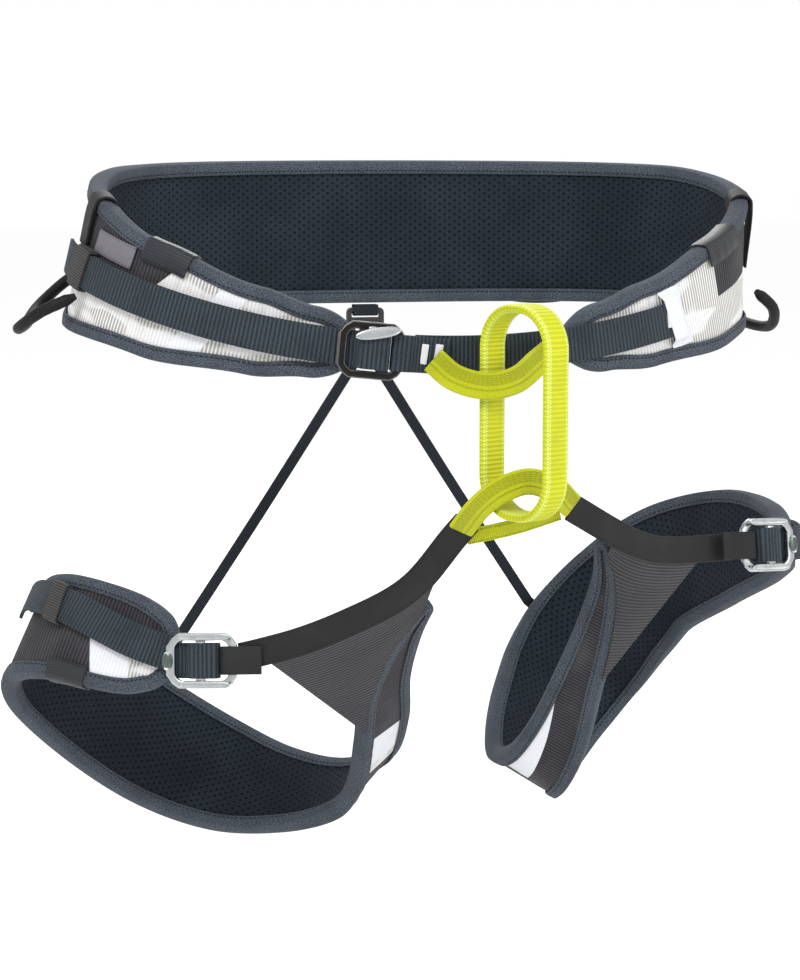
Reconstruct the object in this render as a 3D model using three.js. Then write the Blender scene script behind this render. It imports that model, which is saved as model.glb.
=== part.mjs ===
import * as THREE from 'three';

// Climbing harness, millimetres.  X to the right, Y to the back, Z up; origin at the waist ring's centre.

// ---------- driving dimensions ----------
const belt_half_width = 196;      // plan ellipse of the waist pad
const belt_half_depth = 108;
const belt_height = 87;           // pad height at the back
const belt_drop = 60;             // how far the front of the waist ring hangs below the back
const belt_wrap_deg = 163;        // pad reaches this far each side of the back centre
const belt_flare = 0.11;          // outward lean of the lower edge
const belt_sway = 0.11;           // the whole ring's lower edge lies a little to the left
const leg_scale = 1.0;            // both leg loops, about their tie-in ends
const lining_thick = 1.2;
const foam_thick = 5.0;
const shell_thick = 1.2;
const gap = 0.3;                  // clearance between stacked layers
const binding_thick = 1.2;
const binding_slack = 0.8;        // edge tape to the pad under it
const binding_reach = 7.0;        // how far the edge tape laps on to each face
const webbing_width = 20;
const webbing_thick = 2.0;
const tape_width = 16;            // smooth tape of the leg loops
const tape_thick = 1.8;
const riser_width = 7;
const riser_thick = 1.6;
const gear_tube = 7.0;            // outside diameter of a gear loop
const belay_width = 16;           // belay loop webbing
const belay_thick = 3.6;
const belay_length = 115;         // outside height of the belay loop
const belay_depth = 52;           // outside width of the belay loop
const tie_in_width = 13;
const tie_in_thick = 3.2;
const belt_steps = 48;            // sections round the waist pad
const leg_steps = 72;             // sections round a leg loop
const strap_gap = 0.4;            // clearance between stacked straps and metal
const buckle_rim = 4.25;          // metal above and below the window
const buckle_rail = 5;            // metal at each end of the window
const buckle_thick = 3;
const buckle_play = 1.25;         // window edge to webbing edge
const bar_width = 7;
const bar_thick = 2.6;
const bar_slide = 3;
const waist_buckle_spare = 5;     // rest of the window's length, past the straps, the bar and its slide
const leg_buckle_spare = 9;
const clip_width = 24;            // rear clip
const clip_height = 29;
const clip_thick = 4;
const tab_thick = 1.2;            // woven tab in the rear clip
const label_thick = 0.7;
const keeper_thick = 1.1;
const cross_width = 9;            // tape across the tie-in ends
const cross_thick = 2;
const tie_in_offset = 52.05;      // waist buckle to the middle of the tie-in points

const half_pad = (lining_thick + foam_thick + shell_thick) / 2 + gap;
const skin = half_pad + binding_slack + binding_thick;          // outside of the edge tape
const webbing_n = skin + strap_gap;                         // underside of webbing laid on a pad

const harness = new THREE.Group();
harness.name = 'climbing_harness';
const V = (x, y, z) => new THREE.Vector3(x, y, z);

const look = {
  mesh: [0x1c2630, 0.95, 0], foam: [0x3b4048, 0.95, 0], shell: [0xb9bab8, 0.85, 0], edge: [0x4e5763, 0.9, 0],
  webbing: [0x2c3942, 0.8, 0], tape: [0x2b2b2d, 0.75, 0], lime: [0xc3d21a, 0.7, 0], patch: [0x4a4750, 0.85, 0],
  label: [0xa9a4b0, 0.7, 0], plastic: [0x26282a, 0.55, 0], silver: [0xc9ccce, 0.3, 1], dark: [0x33322f, 0.35, 1],
  gusset: [0x35333a, 0.85, 0], elastic: [0x5a5350, 0.9, 0],
};

function add(name, geometry, kind) {
  const [color, roughness, metalness] = look[kind];
  const mesh = new THREE.Mesh(geometry, new THREE.MeshStandardMaterial({ color, roughness, metalness }));
  mesh.name = name;
  harness.add(mesh);
  return mesh;
}

// flips the triangles of a closed shape whose faces point inward
function outward(g) {
  const flat = g.index ? g.toNonIndexed() : g;
  const p = flat.getAttribute('position');
  const a = V(), b = V(), c = V();
  let volume = 0;
  for (let i = 0; i < p.count; i += 3) {
    a.fromBufferAttribute(p, i); b.fromBufferAttribute(p, i + 1); c.fromBufferAttribute(p, i + 2);
    volume += a.dot(b.cross(c));
  }
  const out = new THREE.BufferGeometry();
  const v = [];
  for (let i = 0; i < p.count; i += 3) {
    for (const k of volume < 0 ? [0, 2, 1] : [0, 1, 2]) v.push(p.getX(i + k), p.getY(i + k), p.getZ(i + k));
  }
  out.setAttribute('position', new THREE.Float32BufferAttribute(v, 3));
  out.computeVertexNormals();
  return out;
}

// sweeps a closed outline [x, y] through `at(t, x, y)` for t from t0 to t1
function sweep(at, outline, steps, t0 = 0, t1 = 1) {
  const pts = outline.map(([x, y]) => new THREE.Vector2(x, y));
  const n = pts.length, rows = [], v = [];
  for (let i = 0; i <= steps; i++) rows.push(pts.map((p) => at(t0 + (t1 - t0) * i / steps, p.x, p.y)));
  const put = (...q) => q.forEach((p) => v.push(p.x, p.y, p.z));
  for (let i = 0; i < steps; i++) {
    for (let k = 0; k < n; k++) {
      const j = (k + 1) % n, [a, b, c, d] = [rows[i][k], rows[i][j], rows[i + 1][j], rows[i + 1][k]];
      if (pts[j].x > pts[k].x) put(a, b, c, a, c, d);
      else put(a, b, d, b, c, d);
    }
  }
  const turn = THREE.ShapeUtils.isClockWise(pts);
  for (const [a, b, c] of THREE.ShapeUtils.triangulateShape([...pts], [])) {
    const [p, q] = turn ? [c, a] : [a, c];
    put(rows[0][q], rows[0][b], rows[0][p]);
    put(rows[steps][p], rows[steps][b], rows[steps][q]);
  }
  const g = new THREE.BufferGeometry();
  g.setAttribute('position', new THREE.Float32BufferAttribute(v, 3));
  return outward(g);
}
const box = (x0, x1, y0, y1) => [[x0, y0], [x1, y0], [x1, y1], [x0, y1]];
const slab = (x0, x1, y0, y1) => {
  const m = (x0 + x1) / 2;
  return [[x0, y0], [m, y0], [x1, y0], [x1, y1], [m, y1], [x0, y1]];
};

// smooth value through pairs [t, value]
function through(pairs) {
  const last = pairs.length - 1;
  return (t) => {
    let i = 0;
    while (i < last - 1 && t > pairs[i + 1][0]) i++;
    const [a, b] = [pairs[i], pairs[i + 1]];
    const s = Math.min(1, Math.max(0, (t - a[0]) / (b[0] - a[0])));
    return a[1] + (b[1] - a[1]) * s * s * (3 - 2 * s);
  };
}

// band: centre line, up direction and half height at t; at(t, v, n) is v along up and n outward
function band(centre, up, half, side = 1) {
  const frame = (t) => {
    const o = centre(t), e = 1e-3;
    const along = centre(t + e).sub(centre(t - e)).normalize();
    const u = up(t).addScaledVector(along, -up(t).dot(along)).normalize();
    return { o, along, u, n: along.clone().cross(u).multiplyScalar(side) };
  };
  const at = (t, v, n) => {
    const f = frame(t);
    return f.o.addScaledVector(f.u, v).addScaledVector(f.n, n);
  };
  return { frame, at, half, full: (t, x, n) => at(t, x * half(t), n) };
}

// flat place: x along, y up, z outward from a point
function place(o, along, u, n) {
  return (z, x, y) => o.clone().addScaledVector(along, x).addScaledVector(u, y).addScaledVector(n, z);
}
const raised = (b, t) => {
  const f = b.frame(t);
  return place(f.o, f.along, f.u, f.n);
};

// edge tape folded over the upper (+1) or lower (-1) edge of a pad
function binding(b, sign, steps, t0, t1) {
  const o = binding_thick, k = binding_slack, i = half_pad + k;
  const c = [[binding_reach, -i - o], [-k - o, -i - o], [-k - o, i + o], [binding_reach, i + o],
    [binding_reach, i], [-k, i], [-k, -i], [binding_reach, -i]];
  return sweep((t, e, n) => b.at(t, sign * (b.half(t) - Math.min(e, b.half(t) - 1)), n), c, steps, t0, t1);
}

function pad(b, name, steps, t0, t1) {
  const n = [-half_pad, -half_pad + lining_thick, -half_pad + lining_thick + gap, half_pad - shell_thick - gap,
    half_pad - shell_thick, half_pad];
  add(name + '_lining', sweep(b.full, slab(-1, 1, n[0], n[1]), steps, t0, t1), 'mesh');
  add(name + '_foam', sweep(b.full, slab(-0.94, 0.94, n[2] + 0.1, n[3] - 0.1), steps, t0, t1), 'foam');
  add(name + '_shell', sweep(b.full, slab(-1, 1, n[4], n[5]), steps, t0, t1), 'shell');
  add(name + '_upper_edge', binding(b, 1, steps, t0, t1), 'edge');
  add(name + '_lower_edge', binding(b, -1, steps, t0, t1), 'edge');
}

// strap seen edge-on: centre line pairs [s, n] thickened and extruded over v0..v1
function weave(at, line, thick, v0, v1) {
  const left = [], right = [];
  line.forEach(([s, n], i) => {
    const a = line[Math.max(0, i - 1)], b = line[Math.min(line.length - 1, i + 1)];
    const d = new THREE.Vector2(b[0] - a[0], b[1] - a[1]).normalize();
    left.push([s - d.y * thick / 2, n + d.x * thick / 2]);
    right.push([s + d.y * thick / 2, n - d.x * thick / 2]);
  });
  return sweep((v, s, n) => at(n, s, v), [...left, ...right.reverse()], 1, v0, v1);
}

// flat ring-shaped plate: outline with round-cornered windows, between z0 and z1
function plate(at, w, h, r, windows, z0, z1) {
  const rounded = (cls, x, y, a, b, q) => {
    const s = new cls();
    s.moveTo(x - a + q, y - b).lineTo(x + a - q, y - b).quadraticCurveTo(x + a, y - b, x + a, y - b + q);
    s.lineTo(x + a, y + b - q).quadraticCurveTo(x + a, y + b, x + a - q, y + b);
    s.lineTo(x - a + q, y + b).quadraticCurveTo(x - a, y + b, x - a, y + b - q);
    s.lineTo(x - a, y - b + q).quadraticCurveTo(x - a, y - b, x - a + q, y - b);
    return s;
  };
  const shape = rounded(THREE.Shape, 0, 0, w / 2, h / 2, r);
  for (const [x, y, a, b, q] of windows) shape.holes.push(rounded(THREE.Path, x, y, a / 2, b / 2, q));
  const g = new THREE.ExtrudeGeometry(shape, { depth: z1 - z0, bevelEnabled: false, curveSegments: 4 });
  const p = g.getAttribute('position');
  for (let i = 0; i < p.count; i++) {
    const q = at(z0 + p.getZ(i), p.getX(i), p.getY(i));
    p.setXYZ(i, q.x, q.y, q.z);
  }
  return outward(g);
}

const round = (r, sides) => Array.from({ length: sides }, (_, i) => {
  const a = (i + 0.5) * 2 * Math.PI / sides;
  return [r * Math.cos(a), r * Math.sin(a)];
});

// ---------- waist pad ----------
const deg = Math.PI / 180;
const beltHeight = through([[0, 1], [60, 0.98], [90, 0.89], [123, 0.7], [145, 0.53], [155, 0.42], [163, 0.27], [180, 0.27]]);
const beltAngle = (t) => (t - 0.5) * 2 * belt_wrap_deg;
function beltCentre(t) {
  const a = beltAngle(t) * deg, y = belt_half_depth * Math.cos(a);
  const front = (belt_half_depth - y) / (2 * belt_half_depth);
  return V(belt_half_width * Math.sin(a), y, 6 - belt_drop * front ** 2.4);
}
function beltUp(t) {
  const a = beltAngle(t) * deg, lean = -belt_flare * Math.sin(a) ** 2;
  return V(lean * Math.sin(a) + belt_sway * Math.sin(a) ** 2, lean * Math.cos(a), 1);
}
const belt = band(beltCentre, beltUp, (t) => belt_height / 2 * beltHeight(Math.abs(beltAngle(t))), -1);
const turnAt = (degrees) => degrees / belt_wrap_deg / 2 + 0.5;
const seg = (degrees) => Math.round(turnAt(degrees) * belt_steps) / belt_steps;
function beltSweep(outline, a0, a1, at = belt.at) {
  const [t0, t1] = [seg(a0), seg(a1)];
  return sweep(at, outline, Math.max(1, Math.round((t1 - t0) * belt_steps)), t0, t1);
}
pad(belt, 'waist', belt_steps, 0, 1);


// ---------- buckles, with the webbing that passes through them ----------
const buckleLength = (spare) => 2 * buckle_rail + 4 * webbing_thick + 2 * bar_slide + bar_width + spare;
const waist_buckle_length = buckleLength(waist_buckle_spare), leg_buckle_length = buckleLength(leg_buckle_spare);
const w1 = webbing_thick / 2, w2 = webbing_width / 2, layer = webbing_thick + strap_gap;
const first = webbing_n + webbing_thick / 2, second = first + layer;     // centres of the stacked layers
const frame0 = second + webbing_thick / 2 + strap_gap, frame1 = frame0 + buckle_thick;    // underside and top of the frame
const bar0 = frame1 + strap_gap, bar1 = bar0 + bar_thick;
function buckle(name, at, kind, length, dir) {
  const x = (s) => s * dir, line = (l) => l.map(([s, n]) => [x(s), n]), end = length / 2 - buckle_rail;
  const window = webbing_width + 2 * buckle_play;
  add(name + '_buckle_frame', plate(at, length, window + 2 * buckle_rim, 6, [[0, 0, 2 * end, window, 2]], frame0, frame1), kind);
  add(name + '_buckle_bar', plate(at, bar_width, window + 2 * buckle_rim - 1, 2.5, [], bar0, bar1), 'silver');
  const half = webbing_thick / 2, top = bar1 + strap_gap + half;
  // far side of the loop leaves the bar its slide; near side stays off the bar at rest
  const far = bar_width / 2 + bar_slide + half + 1.7, near = bar_width / 2 + half + 1.7;
  add(name + '_webbing_loop', weave(at, line([[-length / 2 - 3, first], [far - 3.2, first], [far - 1, first + 1.5],
    [far, frame0], [far, bar0], [far - 0.5, top - 1], [far - 2.2, top], [3.2 - near, top], [1.2 - near, top - 1], [-near, bar0],
    [-near - 1.3, frame0 + 1], [-near - 3.3, second + 0.6], [-near - 5.8, second], [-length / 2 - 3, second]]),
  webbing_thick, -w2, w2), 'webbing');
  return end;
}

// waist buckle, sewn webbing, its tail, and the front strap continued along the right pad
const rail = buckle_rail / 2 - waist_buckle_length / 2, hug = w1 + 0.3;      // strap round the buckle's far rail
const inner = rail + buckle_rail / 2 + hug;
const buckleAt = raised(belt, turnAt(-belt_wrap_deg - 1.6));
// outside of the front strap, level with the tie-in points, and the foot of the belay loop that hangs there
const front = V(buckleAt(0, 0, 0).x + tie_in_offset, -belt_half_depth - first, 6 - belt_drop);
const hang = front.clone().setZ(front.z - belay_length);
buckle('waist', buckleAt, 'dark', waist_buckle_length, -1);
add('waist_webbing', beltSweep(box(-w2, w2, first - w1, first + w1), 6 - belt_wrap_deg, -95), 'webbing');
add('waist_tail', beltSweep(box(-w2, w2, second - w1, second + w1), 6 - belt_wrap_deg, -90), 'webbing');
const strapEnd = seg(190), strapStop = turnAt(187.6);
const pastPad = (t) => (t > 1 ? 1 + (t - 1) * (strapStop - 1) / (strapEnd - 1) : t);
add('front_strap', beltSweep(slab(-w2, w2, first - w1, first + w1), 139, 190,
  (t, v, n) => belt.at(pastPad(t), v, n)), 'webbing');
add('front_strap_loop', weave(buckleAt, [[rail - 8.5, frame1 + 0.6], [rail - 1.5, frame1 + hug], [inner - 1.3, frame1 + hug],
  [inner, frame1], [inner, frame0], [inner - 1.3, frame0 - hug], [rail - 1.5, frame0 - hug],
  [rail - 8.5, frame0 - strap_gap]], webbing_thick, -w2, w2), 'webbing');

// patches, gear loops and keepers on the outside of the waist pad
const cover = half_pad + label_thick;
const onBelt = (name, kind, a0, a1, v0, v1, n0 = cover, n1 = cover + label_thick) =>
  add(name, beltSweep(slab(v0, v1, n0, n1), a0, a1), kind);
const clearOf = (degrees) => belt.half(turnAt(degrees)) - binding_reach;      // face left between the edge tapes
onBelt('left_patch', 'patch', -115, -88, clearOf(-115) - 11.7, clearOf(-115) - 0.7);
onBelt('right_patch', 'patch', 132, 145, 1 - clearOf(145), clearOf(145) - 1);

function gearLoop(name, a0, a1, drop, reach, v) {
  const f = belt.frame(turnAt((a0 + a1) / 2)), out = skin + 2.5 + gear_tube / 2;
  const p = belt.at(turnAt(a0), v, out), q = belt.at(turnAt(a1), v, out);
  const side = f.n.clone().setZ(0).normalize();
  const low = (k, away, down) => p.clone().lerp(q, k).addScaledVector(side, away).add(V(0, 0, -down));
  const line = new THREE.CatmullRomCurve3([p, low(0.02, reach * 0.55, drop * 0.35), low(0.2, reach, drop * 0.85),
    low(0.5, reach * 1.05, drop), low(0.8, reach, drop * 0.85), low(0.98, reach * 0.55, drop * 0.35), q]);
  const ring = (t, x, y) => {
    const along = line.getTangent(t), a = V(0, 0, 1).addScaledVector(along, -along.z).normalize();
    return line.getPoint(t).addScaledVector(a, x).addScaledVector(along.clone().cross(a), y);
  };
  add(name + '_gear_loop', sweep(ring, round(gear_tube / 2, 8), 16), 'plastic');
}
gearLoop('left_front', -104, -60, 26, 36, -15);
gearLoop('right_front', 60, 104, 30, 25, -15);
gearLoop('left_rear', -46, -16, 32, 18, -12);
gearLoop('right_rear', 16, 46, 32, 18, -12);

// elastic keepers over the tails, edge wraps and labels
const low = skin + strap_gap / 2, high = second + w1 + strap_gap;
const cap = (v0, v1, n0, n1) => [[v0 - 1.2, n0], [v0 - 1.2, n1 + keeper_thick], [v1 + 1.2, n1 + keeper_thick], [v1 + 1.2, n0], [v1, n0], [v1, n1],
  [v0, n1], [v0, n0]];
// ---------- leg loops: guide points from the tie-in end, round the thigh and back ----------
// each row: centre x, y, z from the foot of the belay loop; up direction x, y, z; half height
const leftGuides = [
  [-8, -8.6, 16, -0.8, 0.1, 0.6, 8],       // tie-in end of the tape
  [-30, 7.4, -15, -0.6, 0.1, 0.8, 8],
  [-64, 19.4, -35, -0.35, 0.1, 0.95, 8],
  [-100, 30.4, -50, -0.15, 0.15, 1, 8],
  [-138, 44.4, -59, 0, 0.2, 1, 8],           // buckle
  [-174, 64.4, -54, 0.1, 0.35, 0.95, 28],    // front pad
  [-212, 95.4, -47, 0.2, 0.5, 0.85, 32],
  [-230, 129.4, -55, 0.4, 0.6, 0.7, 34],
  [-224, 159.4, -79, 0.45, 0.6, 0.65, 38],   // outer thigh
  [-192, 175.4, -109, 0.45, 0.55, 0.7, 42],
  [-150, 181.4, -141, 0.4, 0.55, 0.75, 42],   // behind the thigh
  [-108, 179.4, -163, 0.3, 0.6, 0.75, 38],
  [-70, 169.4, -172, 0.25, 0.7, 0.65, 30],
  [-40, 151.4, -168, 0.4, 0.75, 0.5, 24],
  [-27, 125.4, -149, 0.7, 0.5, 0.45, 21],
  [-27, 95.4, -117, 0.8, 0.3, 0.5, 20],       // inner thigh
  [-31, 67.4, -83, 0.85, 0.2, 0.5, 17],
  [-27, 41.4, -51, 0.9, 0.25, 0.4, 12],
  [-18, 23.4, -27, 0.8, 0.3, 0.4, 7],        // tie-in end of the pad
];
const rightGuides = [
  [58, -12.6, 29, 0.45, 0.1, 0.9, 8],       // tie-in end of the tape
  [97, 3.4, 6, 0.3, 0.15, 0.95, 8],
  [121, 19.4, -2, 0.1, 0.2, 1, 8],
  [149, 30.4, -4, 0, 0.2, 1, 8],
  [184, 39.4, -5, 0, 0.2, 1, 8],            // buckle
  [211, 55.4, -9, 0, 0.3, 0.95, 12],        // front pad
  [218, 94.4, -13, 0, 0.4, 0.9, 26],
  [206, 139.4, -23, 0, 0.4, 0.9, 38],
  [180, 179.4, -43, 0, 0.3, 0.95, 44],       // outer thigh
  [158, 199.4, -69, -0.1, 0.3, 0.95, 46],
  [136, 207.4, -97, -0.2, 0.25, 0.95, 46],
  [115, 201.4, -123, -0.3, 0.25, 0.9, 44],    // behind the thigh
  [97, 185.4, -144, -0.45, 0.3, 0.85, 39],
  [84, 165.4, -158, -0.65, 0.35, 0.7, 32],
  [78, 145.4, -163, -0.8, 0.35, 0.5, 26],
  [80, 123.4, -153, -0.85, 0.3, 0.45, 23],
  [86, 101.4, -127, -0.8, 0.3, 0.55, 20],
  [89, 73.4, -89, -0.75, 0.25, 0.65, 16],    // inner thigh
  [92, 47.4, -51, -0.65, 0.25, 0.7, 13],
  [92, 27.4, -19, -0.6, 0.25, 0.8, 10],
  [86, 12.4, 7, -0.5, 0.3, 0.85, 7],      // tie-in end of the pad
];

function legBand(guides, side) {
  const home = V(...guides[0].slice(0, 3)), last = guides.length - 1;
  const points = guides.map((g) => V(g[0], g[1], g[2]).sub(home).multiplyScalar(leg_scale).add(home).add(hang));
  const line = new THREE.CatmullRomCurve3(points, false, 'catmullrom', 0.5);
  const lean = new THREE.CatmullRomCurve3(guides.map((g) => V(g[3], g[4], g[5]).normalize()), false, 'catmullrom', 0.5);
  const tall = new THREE.CatmullRomCurve3(guides.map((g, i) => V(i, Math.max(5, g[6] - 2), 0)), false, 'catmullrom', 0.5);
  const clamp = (t) => Math.min(1, Math.max(0, t));
  const centre = (t) => t < 0 || t > 1
    ? line.getPoint(clamp(t)).addScaledVector(line.getTangent(clamp(t)), (t - clamp(t)) * 900) : line.getPoint(t);
  return band(centre, (t) => lean.getPoint(clamp(t)).normalize(), (t) => tall.getPoint(clamp(t)).y, side);
}

function leg(name, guides, side, tip, top, webbingEnd, webbingRise, gussetTape, gussetTop, tapeGap) {
  const b = legBand(guides, side), last = guides.length - 1;
  const grid = (i) => Math.round(i / last * leg_steps) / leg_steps;
  const [t0, t1, tb] = [grid(tip), grid(top), 4 / last];
  const run = (outline, i0, i1, at = b.at) => {
    const [a, c] = [grid(i0), grid(i1)];
    return sweep(at, outline, Math.max(1, Math.round((c - a) * leg_steps)), a, c);
  };
  pad(b, name, Math.round((t1 - t0) * leg_steps), t0, t1);
  const at = raised(b, tb);
  buckle(name, at, 'silver', leg_buckle_length, -1);
  const rise = through([[0, 0], [2.5 / last, 1], [1, 1]]);
  const w = tape_width / 2;
  const pitch = at(0, 0, 0).distanceTo(b.at(tb - 1 / last, 0, 0)) * last;      // length for each unit of t before the buckle
  add(name + '_tape', sweep((t, v, n) => b.at(t, v, n * rise(t)), slab(-w, w, frame0 - strap_gap - tape_thick, frame0 - strap_gap),
    14, 0, tb - (leg_buckle_length / 2 + tapeGap) / pitch), 'tape');
  const bar = buckle_rail - leg_buckle_length / 2, hug = 0.4 + tape_thick / 2;
  add(name + '_tape_fold', weave(at, [[bar - 11, frame1 + hug], [bar - 5, frame1 + hug + 0.2], [bar + 2, frame1 + hug + 0.2],
    [bar + 3.6, frame1], [bar + 3.6, frame0], [bar + 2, frame0 - hug], [bar - 4, frame0 - hug]], tape_thick, -w, w), 'tape');
  const lift = through([[0, 0], [4.6 / last, 1], [webbingEnd / last, webbingRise], [1, webbingRise]]);
  const lifted = (t, v, n) => b.at(t, v + lift(t), n);
  add(name + '_webbing', run(slab(-w2, w2, first - w1, first + w1), tip + 0.25, webbingEnd - 0.5, lifted), 'webbing');
  add(name + '_webbing_tail', run(slab(-w2, w2, second - w1, second + w1), tip + 0.25, webbingEnd, lifted), 'webbing');
  add(name + '_keeper', run(cap(-w2 - 0.6, w2 + 0.6, low, high), 6.0, 6.3, lifted), 'elastic');
  // ribbed gusset between the tape and the inner thigh
  const upperEdge = (k) => {
    const t = (0.7 + (gussetTape - 0.7) * k) / last;
    return b.at(t, -w - 0.9, (frame0 - strap_gap - tape_thick / 2) * rise(t));
  };
  const thighEdge = (k) => {
    const t = (top - 0.1 + (gussetTop - top + 0.1) * k) / last;
    return b.at(t, -b.half(t) - binding_slack - binding_thick - 0.8, 2);
  };
  add(name + '_gusset', sweep((k, x, y) => {
    const p = upperEdge(k), q = thighEdge(k), e = 0.02;
    const d = upperEdge(k + e).sub(upperEdge(k - e)).add(thighEdge(k + e).sub(thighEdge(k - e)));
    const across = q.clone().sub(p);
    return p.lerp(q, x).addScaledVector(d.cross(across).normalize(), y);
  }, slab(0, 1, -0.4, 0.4), 12), 'gusset');
  return b;
}
const left = leg('left_leg', leftGuides, -1, 4.65, 18, 7.2, 18, 3.15, 15.4, 1.6);
const right = leg('right_leg', rightGuides, 1, 4.75, 20, 7.2, 8, 2.7, 17.3, 5.1);

// ---------- green tie-in points and belay loop ----------
function arc(from, points, ups, half) {
  const line = new THREE.CatmullRomCurve3(points.map((p) => V(...p).add(from)), false, 'centripetal');
  const lean = new THREE.CatmullRomCurve3(ups.map((p) => V(...p).normalize()), false, 'catmullrom', 0.5);
  const k = (t) => Math.min(1, Math.max(0, t));
  const centre = (t) => line.getPoint(k(t)).addScaledVector(line.getTangent(k(t)), (t - k(t)) * 50);
  return band(centre, (t) => lean.getPoint(k(t)).normalize(), () => half, 1);
}
const tt = tie_in_thick / 2, th = tie_in_width / 2, ct = cross_thick / 2, ch = cross_width / 2;
const upper = arc(front, [[-20, -4.6, -3], [-10, -12.6, -12], [6, -21.6, -16], [21, -23.6, -13], [36, -15.6, -4], [49, -5.6, 3]],
  [[0.6, 0, 0.8], [0.45, 0, 0.9], [0.1, 0, 1], [-0.3, 0, 1], [-0.55, 0, 0.85], [-0.45, 0, 0.9]], th);
add('upper_tie_in', sweep(upper.at, slab(-th, th, -tt, tt), 18), 'lime');
const aside = belay_width / 2 - 2;      // the arch's left leg stands clear of the belay loop
const lower = arc(hang, [[-aside, -11.6, 19], [7 - aside, -23.6, 33], [17 - aside, -31.6, 43], [25, -34.6, 48], [41, -30.6, 43], [56, -15.6, 31]],
  [[-0.9, 0, 0.4], [-0.8, 0, 0.6], [-0.4, 0, 0.9], [0.05, 0, 1], [0.45, 0, 0.9], [0.6, 0, 0.8]], th);
add('lower_tie_in', sweep(lower.at, slab(-th, th, -tt, tt), 18), 'lime');
const cross = arc(hang, [[-1, -5.6, 14], [25, -7.6, 19], [52, -5.6, 26]], [[0.1, 0, 1], [0.2, 0, 1], [0.2, 0, 1]], ch);
add('cross_tape', sweep(cross.at, slab(-ch, ch, -ct, ct), 6), 'lime');
const ringSide = V(0.46, -0.887, 0).normalize(), ringUp = V(0, 0, 1);
const ringAt = place(V(11.03, -9.52, 27.5 - belay_length / 2).add(front).addScaledVector(ringSide, belay_depth / 2), ringSide, ringUp,
  ringSide.clone().cross(ringUp));
const ringRound = belay_depth / 2 - 3;
add('belay_loop', plate(ringAt, belay_depth, belay_length, ringRound,
  [[0, 0, belay_depth - 2 * belay_thick, belay_length - 2 * belay_thick, ringRound - belay_thick]],
  -belay_width / 2, belay_width / 2), 'lime');

// ---------- rear clip and risers ----------
const clipTop = 6 - belt_height / 2 - skin + half_pad - 2.5;        // just under the back of the waist pad
const clipAt = place(V(-9, belt_half_depth, clipTop - clip_height / 2), V(1, 0, 0), V(0, 0, 1), V(0, -1, 0));
add('rear_clip', plate(clipAt, clip_width, clip_height, 3.5,
  [[0, clip_height / 2 - 4.5, clip_width - 6, 3.6, 1], [-5, 1, 3.4, 3.4, 1], [5, 1, 3.4, 3.4, 1]],
  -clip_thick / 2, clip_thick / 2), 'plastic');
const tab = clip_thick / 2 + strap_gap + tab_thick / 2;
const tabAt = (y, s, x) => clipAt(y, x, s);
add('rear_clip_tab', weave((n, s, v) => tabAt(n, s + clip_height / 2 - 9.5, v), [[11.4, tab], [6, tab], [4.9, 1.2], [4.9, -1.2], [6, -tab],
  [11.4, -tab]], tab_thick, 4 - clip_width / 2, clip_width / 2 - 4), 'tape');

function riser(name, x0, b, t) {
  const from = V(x0, belt_half_depth, clipTop - clip_height - 3), to = b.at(t, b.half(t) + binding_slack + binding_thick + 2.2, 1);
  const wide = to.clone().sub(from).cross(V(0, 1, 0)).normalize();
  const mid = from.clone().lerp(to, 0.5).add(V(0, 0, -1.5));
  const line = new THREE.CatmullRomCurve3([from, mid, to]);
  const centre = (k) => line.getPoint(Math.min(1, Math.max(0, k))).addScaledVector(line.getTangent(Math.min(1, Math.max(0, k))),
    (k - Math.min(1, Math.max(0, k))) * 100);
  const r = band(centre, () => wide.clone(), () => riser_width / 2);
  const h = riser_width / 2, k = riser_thick / 2;
  add(name, sweep(r.at, slab(-h, h, -k, k), 14), 'tape');
}
riser('left_riser', -14, left, 9.6 / (leftGuides.length - 1));
riser('right_riser', -4, right, 10 / (rightGuides.length - 1));

add('waist_keeper', beltSweep(cap(-w2 - 0.6, w2 + 0.6, low, high), -104, -97), 'elastic');
export default harness;
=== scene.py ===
from math import cos, sin, pi, radians, sqrt, hypot, floor
import bmesh
import bpy
from mathutils import Matrix, Vector

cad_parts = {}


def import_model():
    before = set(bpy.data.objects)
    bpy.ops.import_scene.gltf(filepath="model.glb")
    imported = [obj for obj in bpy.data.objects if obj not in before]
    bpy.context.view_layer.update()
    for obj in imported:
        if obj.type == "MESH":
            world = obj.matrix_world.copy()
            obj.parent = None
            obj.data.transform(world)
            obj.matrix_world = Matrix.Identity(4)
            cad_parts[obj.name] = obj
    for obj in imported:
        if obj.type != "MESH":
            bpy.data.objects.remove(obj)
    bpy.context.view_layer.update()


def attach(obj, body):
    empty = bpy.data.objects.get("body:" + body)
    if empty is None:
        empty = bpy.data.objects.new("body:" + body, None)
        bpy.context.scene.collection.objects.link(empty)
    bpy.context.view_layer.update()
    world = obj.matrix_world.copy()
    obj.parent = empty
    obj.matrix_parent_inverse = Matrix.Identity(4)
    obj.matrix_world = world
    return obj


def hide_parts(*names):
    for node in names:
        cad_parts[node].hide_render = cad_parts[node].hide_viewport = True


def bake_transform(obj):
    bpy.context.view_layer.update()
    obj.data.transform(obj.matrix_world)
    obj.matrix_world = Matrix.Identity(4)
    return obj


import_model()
MM = 0.001
WRAP_LIFT = 1.75        # black wraps over the edge tapes, above the pad
LEG_STEPS = 72          # sections round a leg loop in the part

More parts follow.
